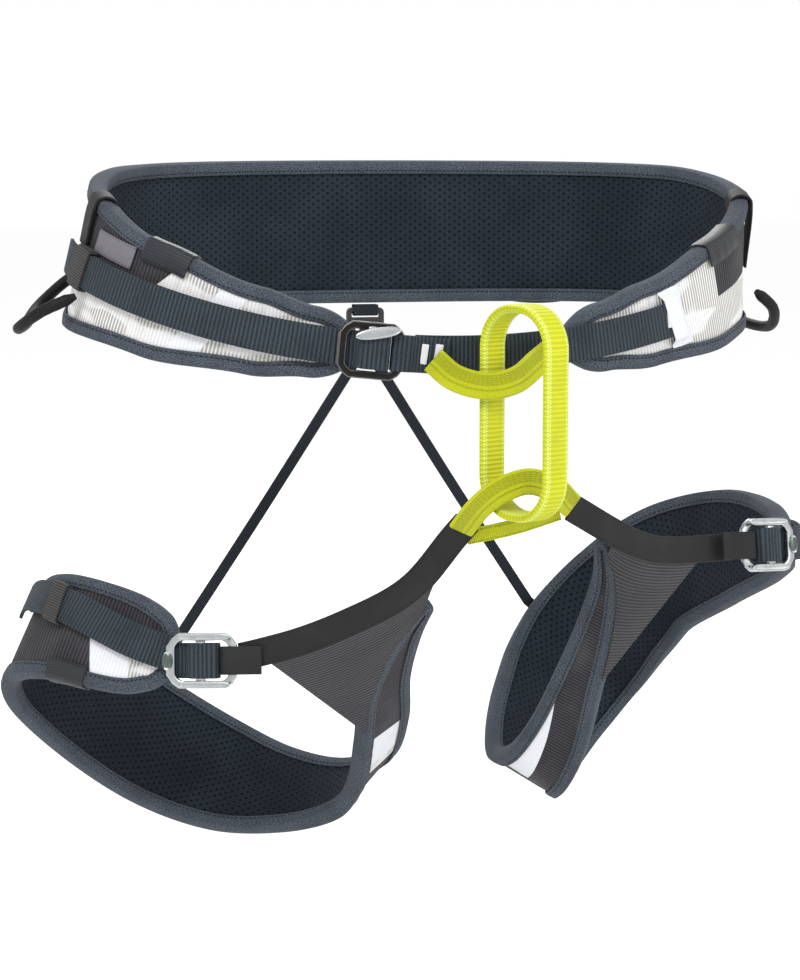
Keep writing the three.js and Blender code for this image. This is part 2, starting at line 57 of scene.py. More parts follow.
# ---------- sizes, in millimetres, as in the part ----------
BELT_HALF_WIDTH, BELT_HALF_DEPTH, BELT_HEIGHT, BELT_DROP = 196, 108, 87, 60
BELT_WRAP, BELT_FLARE, BELT_SWAY = 163, 0.11, 0.11
HALF_PAD = 4.0
SKIN = HALF_PAD + 0.8 + 1.2
WEBBING_WIDTH, WEBBING_THICK, STRAP_GAP = 20, 2.0, 0.4
TAPE_WIDTH, TAPE_THICK = 16, 1.8
FIRST = SKIN + STRAP_GAP + WEBBING_THICK / 2
SECOND = FIRST + WEBBING_THICK + STRAP_GAP
FRAME0 = SECOND + WEBBING_THICK / 2 + STRAP_GAP
FRAME1 = FRAME0 + 3
BAR0 = FRAME1 + STRAP_GAP
BAR1 = BAR0 + 2.6
BELAY_WIDTH, BELAY_THICK, BELAY_LENGTH, BELAY_DEPTH = 16, 3.6, 115, 52
TIE_IN_WIDTH, TIE_IN_THICK = 13, 3.2
WAIST_BUCKLE, LEG_BUCKLE = 36, 40
CLIP_WIDTH, CLIP_HEIGHT = 24, 29
FOOT = Vector((0, -115.4, -169))       # foot of the belay loop
FRONT = Vector((0, -115.4, -54))       # front of the waist ring


# ---------- curves ----------
def spline(points, centripetal=False):
    """Smooth open curve through points; returns place(t) for t from 0 to 1."""
    p = [Vector(q) for q in points]
    p = [2 * p[0] - p[1]] + p + [2 * p[-1] - p[-2]]
    last = len(points) - 1

    def place(t):
        k = min(last - 1, max(0, int(floor(t * last))))
        w = t * last - k
        a, b, c, d = p[k:k + 4]
        if centripetal:
            d0, d1, d2 = (max(1e-4, (y - x).length ** 0.5) for x, y in ((a, b), (b, c), (c, d)))
            m0 = ((b - a) / d0 - (c - a) / (d0 + d1) + (c - b) / d1) * d1
            m1 = ((c - b) / d1 - (d - b) / (d1 + d2) + (d - c) / d2) * d1
        else:
            m0, m1 = (c - a) / 2, (d - b) / 2
        return b + m0 * w + (3 * (c - b) - 2 * m0 - m1) * w * w + (2 * (b - c) + m0 + m1) * w ** 3
    return place


def through(pairs):
    """Smooth value through pairs (t, value)."""
    def value(t):
        i = 0
        while i < len(pairs) - 2 and t > pairs[i + 1][0]:
            i += 1
        (t0, a), (t1, b) = pairs[i], pairs[i + 1]
        s = min(1, max(0, (t - t0) / (t1 - t0)))
        return a + (b - a) * s * s * (3 - 2 * s)
    return value


def clamp(t):
    return min(1, max(0, t))


class Band:
    """A strip of material in space: at(t, v, n) is v along its up direction and n outward."""

    def __init__(self, centre, up, half, side):
        self.centre, self.up, self.half, self.side = centre, up, half, side
        self.table = None

    def frame(self, t):
        e = 1e-3
        along = (self.centre(t + e) - self.centre(t - e)).normalized()
        u = self.up(t)
        u = (u - along * u.dot(along)).normalized()
        return self.centre(t), along, u, along.cross(u) * self.side

    def at(self, t, v, n):
        o, _, u, w = self.frame(t)
        return o + u * v + w * n

    def place(self, t):
        """4x4 matrix of the flat place at t: x along, y up, z outward."""
        o, a, u, w = self.frame(t)
        return Matrix(((a.x, u.x, w.x, o.x), (a.y, u.y, w.y, o.y), (a.z, u.z, w.z, o.z), (0, 0, 0, 1)))

    def measure(self, t0, t1, steps=600):
        self.table = [(t0, 0.0)]
        last = self.centre(t0)
        for i in range(1, steps + 1):
            t = t0 + (t1 - t0) * i / steps
            p = self.centre(t)
            self.table.append((t, self.table[-1][1] + (p - last).length))
            last = p
        self.length = self.table[-1][1]
        return self

    def run(self, t):
        """Length along the band at t."""
        k = (t - self.table[0][0]) / (self.table[-1][0] - self.table[0][0]) * (len(self.table) - 1)
        i = min(len(self.table) - 2, max(0, int(k)))
        return self.table[i][1] + (self.table[i + 1][1] - self.table[i][1]) * (k - i)

    def find(self, s):
        """t at length s along the band."""
        lo, hi = 0, len(self.table) - 1
        while hi - lo > 1:
            mid = (lo + hi) // 2
            lo, hi = (mid, hi) if self.table[mid][1] <= s else (lo, mid)
        (ta, sa), (tb, sb) = self.table[lo], self.table[hi]
        return ta + (tb - ta) * (s - sa) / (sb - sa)


# share of the belt's height at each angle from the back
belt_height = through([(0, 1), (60, 0.98), (90, 0.89), (123, 0.7), (145, 0.53), (155, 0.42), (163, 0.27),
                       (180, 0.27)])


def belt_angle(t):
    return (t - 0.5) * 2 * BELT_WRAP


def belt_centre(t):
    a = radians(belt_angle(t))
    y = BELT_HALF_DEPTH * cos(a)
    front = max(0, (BELT_HALF_DEPTH - y) / (2 * BELT_HALF_DEPTH))
    return Vector((BELT_HALF_WIDTH * sin(a), y, 6 - BELT_DROP * front ** 2.4))


def belt_up(t):
    a = radians(belt_angle(t))
    lean = -BELT_FLARE * sin(a) ** 2
    return Vector((lean * sin(a) + BELT_SWAY * sin(a) ** 2, lean * cos(a), 1))


def turn(degrees):
    return degrees / BELT_WRAP / 2 + 0.5


belt = Band(belt_centre, belt_up, lambda t: BELT_HEIGHT / 2 * belt_height(abs(belt_angle(t))), -1)
belt.measure(-0.12, 1.12)

# centre x, y, z from the foot of the belay loop; up direction; half height
LEFT_GUIDES = [
    (-8, -8.6, 16, -.8, .1, .6, 8), (-30, 7.4, -15, -.6, .1, .8, 8), (-64, 19.4, -35, -.35, .1, .95, 8),
    (-100, 30.4, -50, -.15, .15, 1, 8), (-138, 44.4, -59, 0, .2, 1, 8), (-174, 64.4, -54, .1, .35, .95, 28),
    (-212, 95.4, -47, .2, .5, .85, 32), (-230, 129.4, -55, .4, .6, .7, 34),
    (-224, 159.4, -79, .45, .6, .65, 38),
    (-192, 175.4, -109, .45, .55, .7, 42), (-150, 181.4, -141, .4, .55, .75, 42),
    (-108, 179.4, -163, .3, .6, .75, 38),
    (-70, 169.4, -172, .25, .7, .65, 30), (-40, 151.4, -168, .4, .75, .5, 24),
    (-27, 125.4, -149, .7, .5, .45, 21),
    (-27, 95.4, -117, .8, .3, .5, 20), (-31, 67.4, -83, .85, .2, .5, 17), (-27, 41.4, -51, .9, .25, .4, 12),
    (-18, 23.4, -27, .8, .3, .4, 7)]
RIGHT_GUIDES = [
    (58, -12.6, 29, .45, .1, .9, 8), (97, 3.4, 6, .3, .15, .95, 8), (121, 19.4, -2, .1, .2, 1, 8),
    (149, 30.4, -4, 0, .2, 1, 8), (184, 39.4, -5, 0, .2, 1, 8), (211, 55.4, -9, 0, .3, .95, 12),
    (218, 94.4, -13, 0, .4, .9, 26), (206, 139.4, -23, 0, .4, .9, 38), (180, 179.4, -43, 0, .3, .95, 44),
    (158, 199.4, -69, -.1, .3, .95, 46), (136, 207.4, -97, -.2, .25, .95, 46),
    (115, 201.4, -123, -.3, .25, .9, 44),
    (97, 185.4, -144, -.45, .3, .85, 39), (84, 165.4, -158, -.65, .35, .7, 32),
    (78, 145.4, -163, -.8, .35, .5, 26),
    (80, 123.4, -153, -.85, .3, .45, 23), (86, 101.4, -127, -.8, .3, .55, 20),
    (89, 73.4, -89, -.75, .25, .65, 16),
    (92, 47.4, -51, -.65, .25, .7, 13), (92, 27.4, -19, -.6, .25, .8, 10), (86, 12.4, 7, -.5, .3, .85, 7)]


def leg_band(guides, side):
    line = spline([Vector(g[:3]) + FOOT for g in guides])
    lean = spline([Vector(g[3:6]).normalized() for g in guides])
    tall = spline([(i, max(5, g[6] - 2), 0) for i, g in enumerate(guides)])

    def centre(t):
        k = clamp(t)
        if k == t:
            return line(t)
        d = (line(clamp(k + 1e-4)) - line(clamp(k - 1e-4))).normalized()
        return line(k) + d * (t - k) * 900
    return Band(centre, lambda t: lean(clamp(t)).normalized(), lambda t: tall(clamp(t)).y, side).measure(0, 1)


left_leg, right_leg = leg_band(LEFT_GUIDES, -1), leg_band(RIGHT_GUIDES, 1)


# ---------- shader maths ----------
class Wire:
    """A shader socket that takes part in Python expressions."""

    def __init__(self, finish, socket):
        self.finish, self.socket = finish, socket

    def maths(self, operation, *others):
        return self.finish.node("ShaderNodeMath", {"operation": operation},
                                {i: v for i, v in enumerate((self,) + others)})

    def __add__(self, o): return self.maths("ADD", o)
    def __radd__(self, o): return self.maths("ADD", o)
    def __sub__(self, o): return self.maths("SUBTRACT", o)
    def __rsub__(self, o): return self.finish.node("ShaderNodeMath", {"operation": "SUBTRACT"},
                                                   {0: o, 1: self})
    def __mul__(self, o): return self.maths("MULTIPLY", o)
    def __rmul__(self, o): return self.maths("MULTIPLY", o)
    def __truediv__(self, o): return self.maths("DIVIDE", o)
    def __abs__(self): return self.maths("ABSOLUTE")
    def __lt__(self, o): return self.maths("LESS_THAN", o)

    def sine(self): return self.maths("SINE")
    def part(self): return self.maths("FRACT")
    def power(self, o): return self.maths("POWER", o)
    def most(self, o): return self.maths("MAXIMUM", o)

    def step(self, low, high):
        """Smooth 0 to 1 as the value goes from low to high."""
        return self.finish.node("ShaderNodeMapRange", {"interpolation_type": "SMOOTHSTEP"},
                                {"Value": self, "From Min": low, "From Max": high})


class Finish:
    """A procedural material: weave coordinates in metres, along (u) and across (v) the piece."""

    def __init__(self, name, rough=0.8, metal=0.0, sheen=0.0, gloss=0.5):
        self.material = bpy.data.materials.new(name)
        self.material.use_nodes = True
        self.tree = self.material.node_tree
        self.shader = next(n for n in self.tree.nodes if n.type == "BSDF_PRINCIPLED")
        values = {"Roughness": rough, "Metallic": metal, "Sheen Weight": sheen, "Specular IOR Level": gloss}
        for socket, value in values.items():
            self.set(self.shader, socket, value)

    def set(self, node, socket, value):
        """Links a wire to a node's socket, or gives the socket a fixed value."""
        if isinstance(value, Wire):
            self.tree.links.new(value.socket, node.inputs[socket])
        else:
            node.inputs[socket].default_value = value

    def node(self, kind, settings=None, values=None, out=0):
        n = self.tree.nodes.new(kind)
        for key, value in (settings or {}).items():
            setattr(n, key, value)
        for key, value in (values or {}).items():
            self.set(n, key, value)
        return Wire(self, n.outputs[out])

    def weave(self):
        uv = self.node("ShaderNodeUVMap", {"uv_map": "weave"})
        return [self.node("ShaderNodeSeparateXYZ", {}, {0: uv}, axis) for axis in "XY"]

    def space(self, *scale):
        """Object coordinates, each axis scaled."""
        where = self.node("ShaderNodeTexCoord", {}, {}, "Object")
        return self.node("ShaderNodeMapping", {}, {"Vector": where, "Scale": scale})

    def noise(self, scale, detail=3.0):
        """Noise on the object's own millimetres."""
        where = self.space(1000.0, 1000.0, 1000.0)
        values = {"Vector": where, "Scale": scale, "Detail": detail, "Roughness": 0.55}
        return self.node("ShaderNodeTexNoise", {}, values)

    def stretched(self, u, v, along, across, detail=2.0):
        """Noise on the weave coordinates with its own scale each way, per millimetre."""
        where = self.node("ShaderNodeCombineXYZ", {},
                          {"X": u * (1000 * along), "Y": v * (1000 * across), "Z": 0.0})
        return self.node("ShaderNodeTexNoise", {}, {"Vector": where, "Scale": 1.0, "Detail": detail})

    def blend(self, factor, a, b):
        def full(c):
            return c if isinstance(c, Wire) else (*c, 1)
        n = self.tree.nodes.new("ShaderNodeMix")
        n.data_type = "RGBA"
        for socket, value in ((0, factor), (6, full(a)), (7, full(b))):
            self.set(n, socket, value)
        return Wire(self, n.outputs[2])

    def wear(self, colour, rough=None, height=None, depth=0.2):
        """Gives the shader its colour, and uneven gloss and relief (depth in millimetres) where it has them."""
        self.set(self.shader, "Base Color", colour)
        if rough:
            self.set(self.shader, "Roughness", rough)
        if height:
            values = {"Strength": 1.0, "Distance": depth * MM, "Height": height}
            self.set(self.shader, "Normal", self.node("ShaderNodeBump", {}, values))
        return self.material


def ribs(x, pitch):
    """0 to 1 ribs across x, pitch in millimetres."""
    return (x * (2 * pi / (pitch * MM))).sine() * 0.5 + 0.5


def highest(wires):
    total = None
    for wire in wires:
        total = total.most(wire) if total else wire
    return total


def line_at(v, place, low, high):
    """1 on the line at a place across and 0 away from it, in millimetres."""
    return 1 - abs(v - place * MM).step(low * MM, high * MM)


def dashes(u, v, rows, pitch=3.0, fill=0.62, width=0.45):
    """Rows of stitches along u at the given places across, in millimetres."""
    on = (u / (pitch * MM)).part() < fill
    return highest(line_at(v, row, width * 0.5, width) for row in rows) * on


def perforated_mesh():
    f = Finish("perforated_mesh", rough=0.9, sheen=0.02, gloss=0.15)
    u, v = f.weave()
    across, down = 6.4, 4.4     # pitch of the holes

    def hole(shift):
        x = ((u / (across * MM)) + shift).part() - 0.5
        y = ((v / (down * MM)) + shift).part() - 0.5
        d = ((x * across) * (x * across) + (y * down) * (y * down)).power(0.5)
        return 1 - d.step(0.40, 1.0)
    holes = highest(hole(shift) for shift in (0.0, 0.5))
    knit = ribs(u + v, 1.1) * ribs(u - v, 1.1)
    cloudy = f.noise(0.02, 3.0)
    fine = f.noise(1.4, 2.0)
    base = f.blend(cloudy.step(0.35, 0.7), (0.009, 0.0135, 0.020), (0.017, 0.024, 0.033))
    base = f.blend(knit * 0.4, base, (0.030, 0.040, 0.052))
    base = f.blend(fine * 0.35, base, (0.010, 0.015, 0.022))
    return f.wear(colour=f.blend(holes, base, (0.001, 0.0013, 0.002)),
                  height=knit * 0.25 + fine * 0.2 - holes, depth=0.7)


def heather_tape():
    f = Finish("heather_tape", rough=0.88, sheen=0.04, gloss=0.2)
    u, v = f.weave()
    fleck = f.stretched(u, v, 1.1, 2.6, 3.0).step(0.38, 0.64)
    soft = f.noise(0.05, 2.0)
    base = f.blend(fleck, (0.014, 0.019, 0.027), (0.098, 0.115, 0.140))
    base = f.blend(soft.step(0.35, 0.75) * 0.4, base, (0.024, 0.030, 0.040))
    thread = dashes(u, v, (-8.3, 8.3), 2.8, 0.65, 0.42)
    knit = ribs(v, 0.8)
    base = f.blend(thread * 0.85, base, (0.008, 0.010, 0.014))
    return f.wear(colour=base, height=knit * 0.3 + fleck * 0.3 - thread * 0.9, depth=0.35)


def slate_webbing():
    f = Finish("slate_webbing", rough=0.72, sheen=0.03, gloss=0.25)
    dark = (0.002, 0.0035, 0.006)
    u, v = f.weave()
    rib = ribs(u + (v * 40).sine() * (0.06 * MM), 2.4).power(0.7)
    grain = f.stretched(u, v, 1.2, 3.0, 3.0)
    patchy = f.noise(0.06, 3.0)
    # painted highlight and shade: the colour goes from near-black in the grooves to lighter slate on the rib
    # crests, as light falls across the ribs; the patchy blend back to near-black below is uneven tone
    tone = f.blend(rib, dark, (0.026, 0.039, 0.050))
    tone = f.blend(grain.step(0.5, 0.75) * 0.55, tone, (0.070, 0.092, 0.110))
    tone = f.blend(patchy.step(0.4, 0.75) * 0.35, tone, dark)
    warp = ribs(v, 1.0)
    return f.wear(colour=tone, height=rib + warp * 0.25 + grain * 0.25, depth=0.45)


def lime_webbing(name, pitch, rows=(), mint_half=None):
    """Green webbing, with seams at the rows, or with mint threads along its edges at mint_half."""
    f = Finish(name, rough=0.62, sheen=0.02, gloss=0.3)
    u, v = f.weave()
    rib = ribs(u, pitch)
    grain = f.stretched(u, v, 1.0, 3.0, 3.0)
    patchy = f.noise(0.045, 3.0)
    tone = f.blend(rib, (0.385, 0.405, 0.002), (0.50, 0.53, 0.003))
    tone = f.blend(grain.step(0.5, 0.8) * 0.4, tone, (0.58, 0.62, 0.012))
    tone = f.blend(patchy.step(0.45, 0.8) * 0.4, tone, (0.29, 0.34, 0.002))
    if mint_half:
        threads = ((mint_half - 2.0, u), (mint_half - 0.7, u + 0.75 * MM))
        stripe = highest(line_at(abs(v), at, 0.28, 0.55) * ribs(x, 1.5).step(0.2, 0.6) for at, x in threads)
        tone = f.blend(stripe * 0.8, tone, (0.60, 0.74, 0.30))
    height = rib * 0.8 + grain * 0.3
    if rows:
        thread = dashes(u, v, rows, 2.6, 0.55, 0.40)
        seam = highest(line_at(v, row, 0.1, 0.8) for row in rows)
        tone = f.blend(seam * 0.55, tone, (0.30, 0.34, 0.002))
        tone = f.blend(thread * 0.35, tone, (0.16, 0.18, 0.002))
        height = height - seam * 1.2
    return f.wear(colour=tone, height=height, depth=0.4)


def smooth_tape(name, rows=()):
    f = Finish(name, rough=0.62, sheen=0.02, gloss=0.25)
    u, v = f.weave()
    twill = ribs(u * 0.7 + v, 0.9)
    grain = f.stretched(u, v, 0.5, 3.0, 3.0)
    patchy = f.noise(0.04, 2.0)
    tone = f.blend(grain, (0.0045, 0.0045, 0.0055), (0.010, 0.010, 0.011))
    tone = f.blend(patchy.step(0.4, 0.8) * 0.4, tone, (0.021, 0.021, 0.023))
    height = twill * 0.5 + grain * 0.3
    if rows:
        thread = dashes(u, v, rows)
        tone = f.blend(thread * 0.6, tone, (0.002, 0.002, 0.0025))
        height = height - thread * 0.8
    return f.wear(colour=tone, height=height, depth=0.2)


def riser_tape():
    f = Finish("riser_tape", rough=0.8, sheen=0.03, gloss=0.2)
    u, v = f.weave()
    cross = ribs(u, 2.4)
    check = ribs(u + v, 1.8) * ribs(u - v, 1.8)
    tone = f.blend(check, (0.007, 0.010, 0.014), (0.032, 0.040, 0.050))
    return f.wear(colour=f.blend(cross * 0.3, tone, (0.014, 0.019, 0.025)), height=check + cross * 0.4,
                  depth=0.4)


def ribbed_gusset():
    f = Finish("ribbed_gusset", rough=0.65, sheen=0.04, gloss=0.35)
    u, v = f.weave()
    rib = ribs(v, 2.4).power(1.4)
    grain = f.stretched(u, v, 2.0, 0.4, 2.0)
    patchy = f.noise(0.03, 3.0)
    # painted highlight and shade: rib crests lighter and grooves near-black, as light falls across the ribs, and
    # the lighter grain streaks make the painted glints uneven; the patchy blend to a darker grey below is uneven
    # tone
    tone = f.blend(rib, (0.002, 0.002, 0.003), (0.042, 0.042, 0.047))
    tone = f.blend(grain.step(0.45, 0.8) * 0.4, tone, (0.056, 0.056, 0.062))
    tone = f.blend(patchy.step(0.35, 0.75) * 0.45, tone, (0.010, 0.010, 0.012))
    return f.wear(colour=tone, height=rib + grain * 0.2, depth=0.45)


def after(s):
    """Side of a shell's zone: the places past length s."""
    return 1, 0, s


def before(s):
    return -1, 0, -s


def striped_shell(name, white, dark):
    """Outer fabric of fine grey ribs on off-white. White and dark zones are lists of sides (a, b, c): a zone
    holds the places where a * u + b * v > c, in millimetres, for all its sides."""
    f = Finish(name, rough=0.8, sheen=0.03, gloss=0.25)
    u, v = f.weave()

    def within(sides):
        zone = None
        for along, across, limit in sides:
            side = (u * along + v * across).step((limit - 0.4) * MM, (limit + 0.4) * MM)
            zone = zone * side if zone else side
        return zone

    fine = ribs(u, 2.1)
    patches = f.stretched(u, v, 0.022, 0.06, 1.0)
    wide = f.stretched(u, v, 0.12, 0.012, 2.0)
    pale = f.blend(fine.step(0.30, 0.75), (0.30, 0.29, 0.27), (0.66, 0.66, 0.645))
    plain = f.blend(fine.step(0.1, 0.6), (0.58, 0.58, 0.575), (0.70, 0.70, 0.695))
    tone = f.blend(patches.step(0.50, 0.56), pale, plain)
    tone = f.blend(wide.step(0.52, 0.7) * 0.35, tone, (0.40, 0.39, 0.37))
    cloth = f.blend(fine * 0.5 + f.noise(0.9, 2.0) * 0.5, (0.54, 0.56, 0.59), (0.72, 0.73, 0.76))
    white_mask, dark_mask = (highest(within(zone) for zone in zones) for zones in (white, dark))
    dark_rib = ribs(u, 2.4)
    tone = f.blend(white_mask, tone, cloth)
    tone = f.blend(dark_mask, tone, f.blend(dark_rib, (0.007, 0.0065, 0.009), (0.038, 0.036, 0.043)))
    tone = f.blend(f.noise(0.03, 2.0).step(0.4, 0.8) * 0.12, tone, (0.20, 0.20, 0.21))
    return f.wear(colour=tone, height=fine * (1 - white_mask) * (1 - dark_mask) + dark_rib * dark_mask,
                  depth=0.45)


def ribbed_elastic():
    f = Finish("elastic", rough=0.78, sheen=0.03, gloss=0.25)
    low = (0.018, 0.017, 0.017)
    u, v = f.weave()
    rib = ribs(u, 1.5)
    grain = f.stretched(u, v, 0.6, 2.0, 2.0)
    tone = f.blend(grain * 0.3, f.blend(rib, low, (0.070, 0.066, 0.064)), low)
    return f.wear(colour=tone, height=rib + grain * 0.2, depth=0.4)


def plain_cloth(name, low, high, rough=0.7, rows=()):
    f = Finish(name, rough=rough, sheen=0.02, gloss=0.3)
    u, v = f.weave()
    weave = ribs(u, 0.9) * ribs(v, 0.9)
    grain = f.noise(0.35, 4.0)
    tone = f.blend(weave * 0.6 + grain * 0.4, low, high)
    height = weave + grain * 0.4
    if rows:
        thread = dashes(u, v, rows, 2.6, 0.6, 0.4)
        tone = f.blend(thread * 0.6, tone, tuple(c * 0.4 for c in low))
        height = height - thread
    return f.wear(colour=tone, height=height, depth=0.22)


def close_stitches():
    f = Finish("white_thread", rough=0.55, sheen=0.05, gloss=0.4)
    fill = ribs(f.weave()[1], 0.55)
    grain = f.noise(0.8, 2.0)
    tone = f.blend(fill * 0.7 + grain * 0.3, (0.60, 0.60, 0.62), (0.88, 0.88, 0.90))
    return f.wear(colour=tone, height=fill, depth=0.3)


def metal(name, low, high, rough=0.3, scratch=0.5, metallic=1.0):
    f = Finish(name, rough=rough, metal=metallic)
    drawn_out = f.space(900.0, 160.0, 160.0)
    brushed = f.node("ShaderNodeTexNoise", {}, {"Vector": drawn_out, "Scale": 1.0, "Detail": 3.0})
    blotch = f.noise(0.12, 3.0)
    tone = f.blend(brushed * 0.5 + blotch * 0.5, low, high)
    return f.wear(colour=tone, rough=(blotch - 0.5) * 0.25 + rough, height=brushed * scratch, depth=0.012)


def moulded(name, low, high, rough=0.5):
    f = Finish(name, rough=rough, gloss=0.2)
    grain = f.noise(1.6, 3.0)
    blotch = f.noise(0.08, 3.0)
    tone = f.blend(blotch * 0.6 + grain * 0.4, low, high)
    return f.wear(colour=tone, rough=grain * 0.2 + (rough - 0.1), height=grain, depth=0.06)


# ---------- piece making ----------
def piece(name, verts, faces, uvs, material, smooth):
    """A mesh from millimetre points; uvs holds one (u, v) in millimetres for each face corner."""
    mesh = bpy.data.meshes.new(name)
    mesh.from_pydata([v * MM for v in verts], [], faces)
    layer = mesh.uv_layers.new(name="weave")
    layer.data.foreach_set("uv", [c * MM for face in uvs for pair in face for c in pair])
    mesh.materials.append(material)
    mesh.polygons.foreach_set("use_smooth", [True] * len(mesh.polygons))
    mesh.update()
    bm = bmesh.new()
    bm.from_mesh(mesh)
    if bm.calc_volume(signed=True) < 0:
        bmesh.ops.reverse_faces(bm, faces=bm.faces)
    bm.to_mesh(mesh)
    bm.free()
    if smooth < 180:
        mesh.set_sharp_from_angle(angle=radians(smooth))
    obj = bpy.data.objects.new(name, mesh)
    bpy.context.scene.collection.objects.link(obj)
    return obj


def tube(name, rings, coords, material, closed=False, smooth=60):
    """Joins rings of points with quads; coords holds the (u, v) of each point of each ring."""
    verts = [p for ring in rings for p in ring]
    n, rows = len(rings[0]), len(rings)
    faces, uvs = [], []
    for i in range(rows if closed else rows - 1):
        j = (i + 1) % rows
        wrap = 0.0
        if closed and j == 0:
            wrap = coords[-1][0][0] + coords[1][0][0] - 2 * coords[0][0][0]
        for k in range(n):
            m = (k + 1) % n
            faces.append((i * n + k, i * n + m, j * n + m, j * n + k))
            (far_m, v_m), (far_k, v_k) = coords[j][m], coords[j][k]
            uvs.append((coords[i][k], coords[i][m], (far_m + wrap, v_m), (far_k + wrap, v_k)))
    if not closed:
        for i, order in ((0, range(n - 1, -1, -1)), (rows - 1, range(n))):
            faces.append(tuple(i * n + k for k in order))
            uvs.append(tuple(coords[i][k] for k in order))
    return piece(name, verts, faces, uvs, material, smooth)


def slab_outline(width, thick, notch):
    """Rounded flat section with a groove down each edge: list of (v, n)."""
    w, h = width / 2, thick / 2
    r = min(h * 0.95, w * 0.5)
    out = [((w - r) * (1 - k / 4), h) for k in range(9)]
    side = [(-w + r - r * sin(a), h * cos(a)) for a in (pi / 6, pi / 3)]
    if notch:
        side += [(-w + 0.1, h * 0.3), (-w + notch, 0), (-w + 0.1, -h * 0.3)]
    else:
        side += [(-w, 0)]
    side += [(-w + r - r * sin(a), h * cos(a)) for a in (2 * pi / 3, 5 * pi / 6)]
    return out + side + [(-v, -n) for v, n in out] + [(-v, -n) for v, n in side]


def ribbon(name, points, across, width, thick, material, closed=False, notch=0.0):
    """A strap along points, its width laid along the across directions."""
    count = len(points)
    rings, coords, s = [], [], 0.0
    base = slab_outline(width, thick, notch)
    for i, p in enumerate(points):
        a = points[(i - 1) % count] if closed else points[max(0, i - 1)]
        b = points[(i + 1) % count] if closed else points[min(count - 1, i + 1)]
        if i:
            s += (p - points[i - 1]).length
        along = (b - a).normalized()
        u = across[i] if isinstance(across, list) else across
        u = (u - along * u.dot(along)).normalized()
        w = along.cross(u)
        rings.append([p + u * v + w * n for v, n in base])
        coords.append([(s, v) for v, n in base])
    return tube(name, rings, coords, material, closed, smooth=50)


def on_band(b, t0, t1, n, v=0.0, steps=60):
    """Points and across directions of a strap laid on a band; n and v may be functions of t."""
    points, across = [], []
    for i in range(steps + 1):
        t = t0 + (t1 - t0) * i / steps
        points.append(b.at(t, v(t) if callable(v) else v, n(t) if callable(n) else n))
        across.append(b.frame(t)[2])
    return points, across


def along_line(line, steps):
    return [line(i / steps) for i in range(steps + 1)]


def folded(place, path, steps):
    """A strap seen edge-on: pairs (x, z) in a flat place, smoothed."""
    return [place @ p for p in along_line(spline([(x, 0, z) for x, z in path], True), steps)]


# ---------- pads ----------
def wobble(s, v, seed):
    """Slow unevenness of stuffed cloth, about -1 to 1."""
    long_wave = sin(s * 0.055 + seed)
    short_waves = 0.6 * sin(s * 0.131 + v * 0.05 + 2.3 * seed) + 0.4 * sin(s * 0.31 - v * 0.11 + seed * 4.1)
    return (long_wave + short_waves) / 2


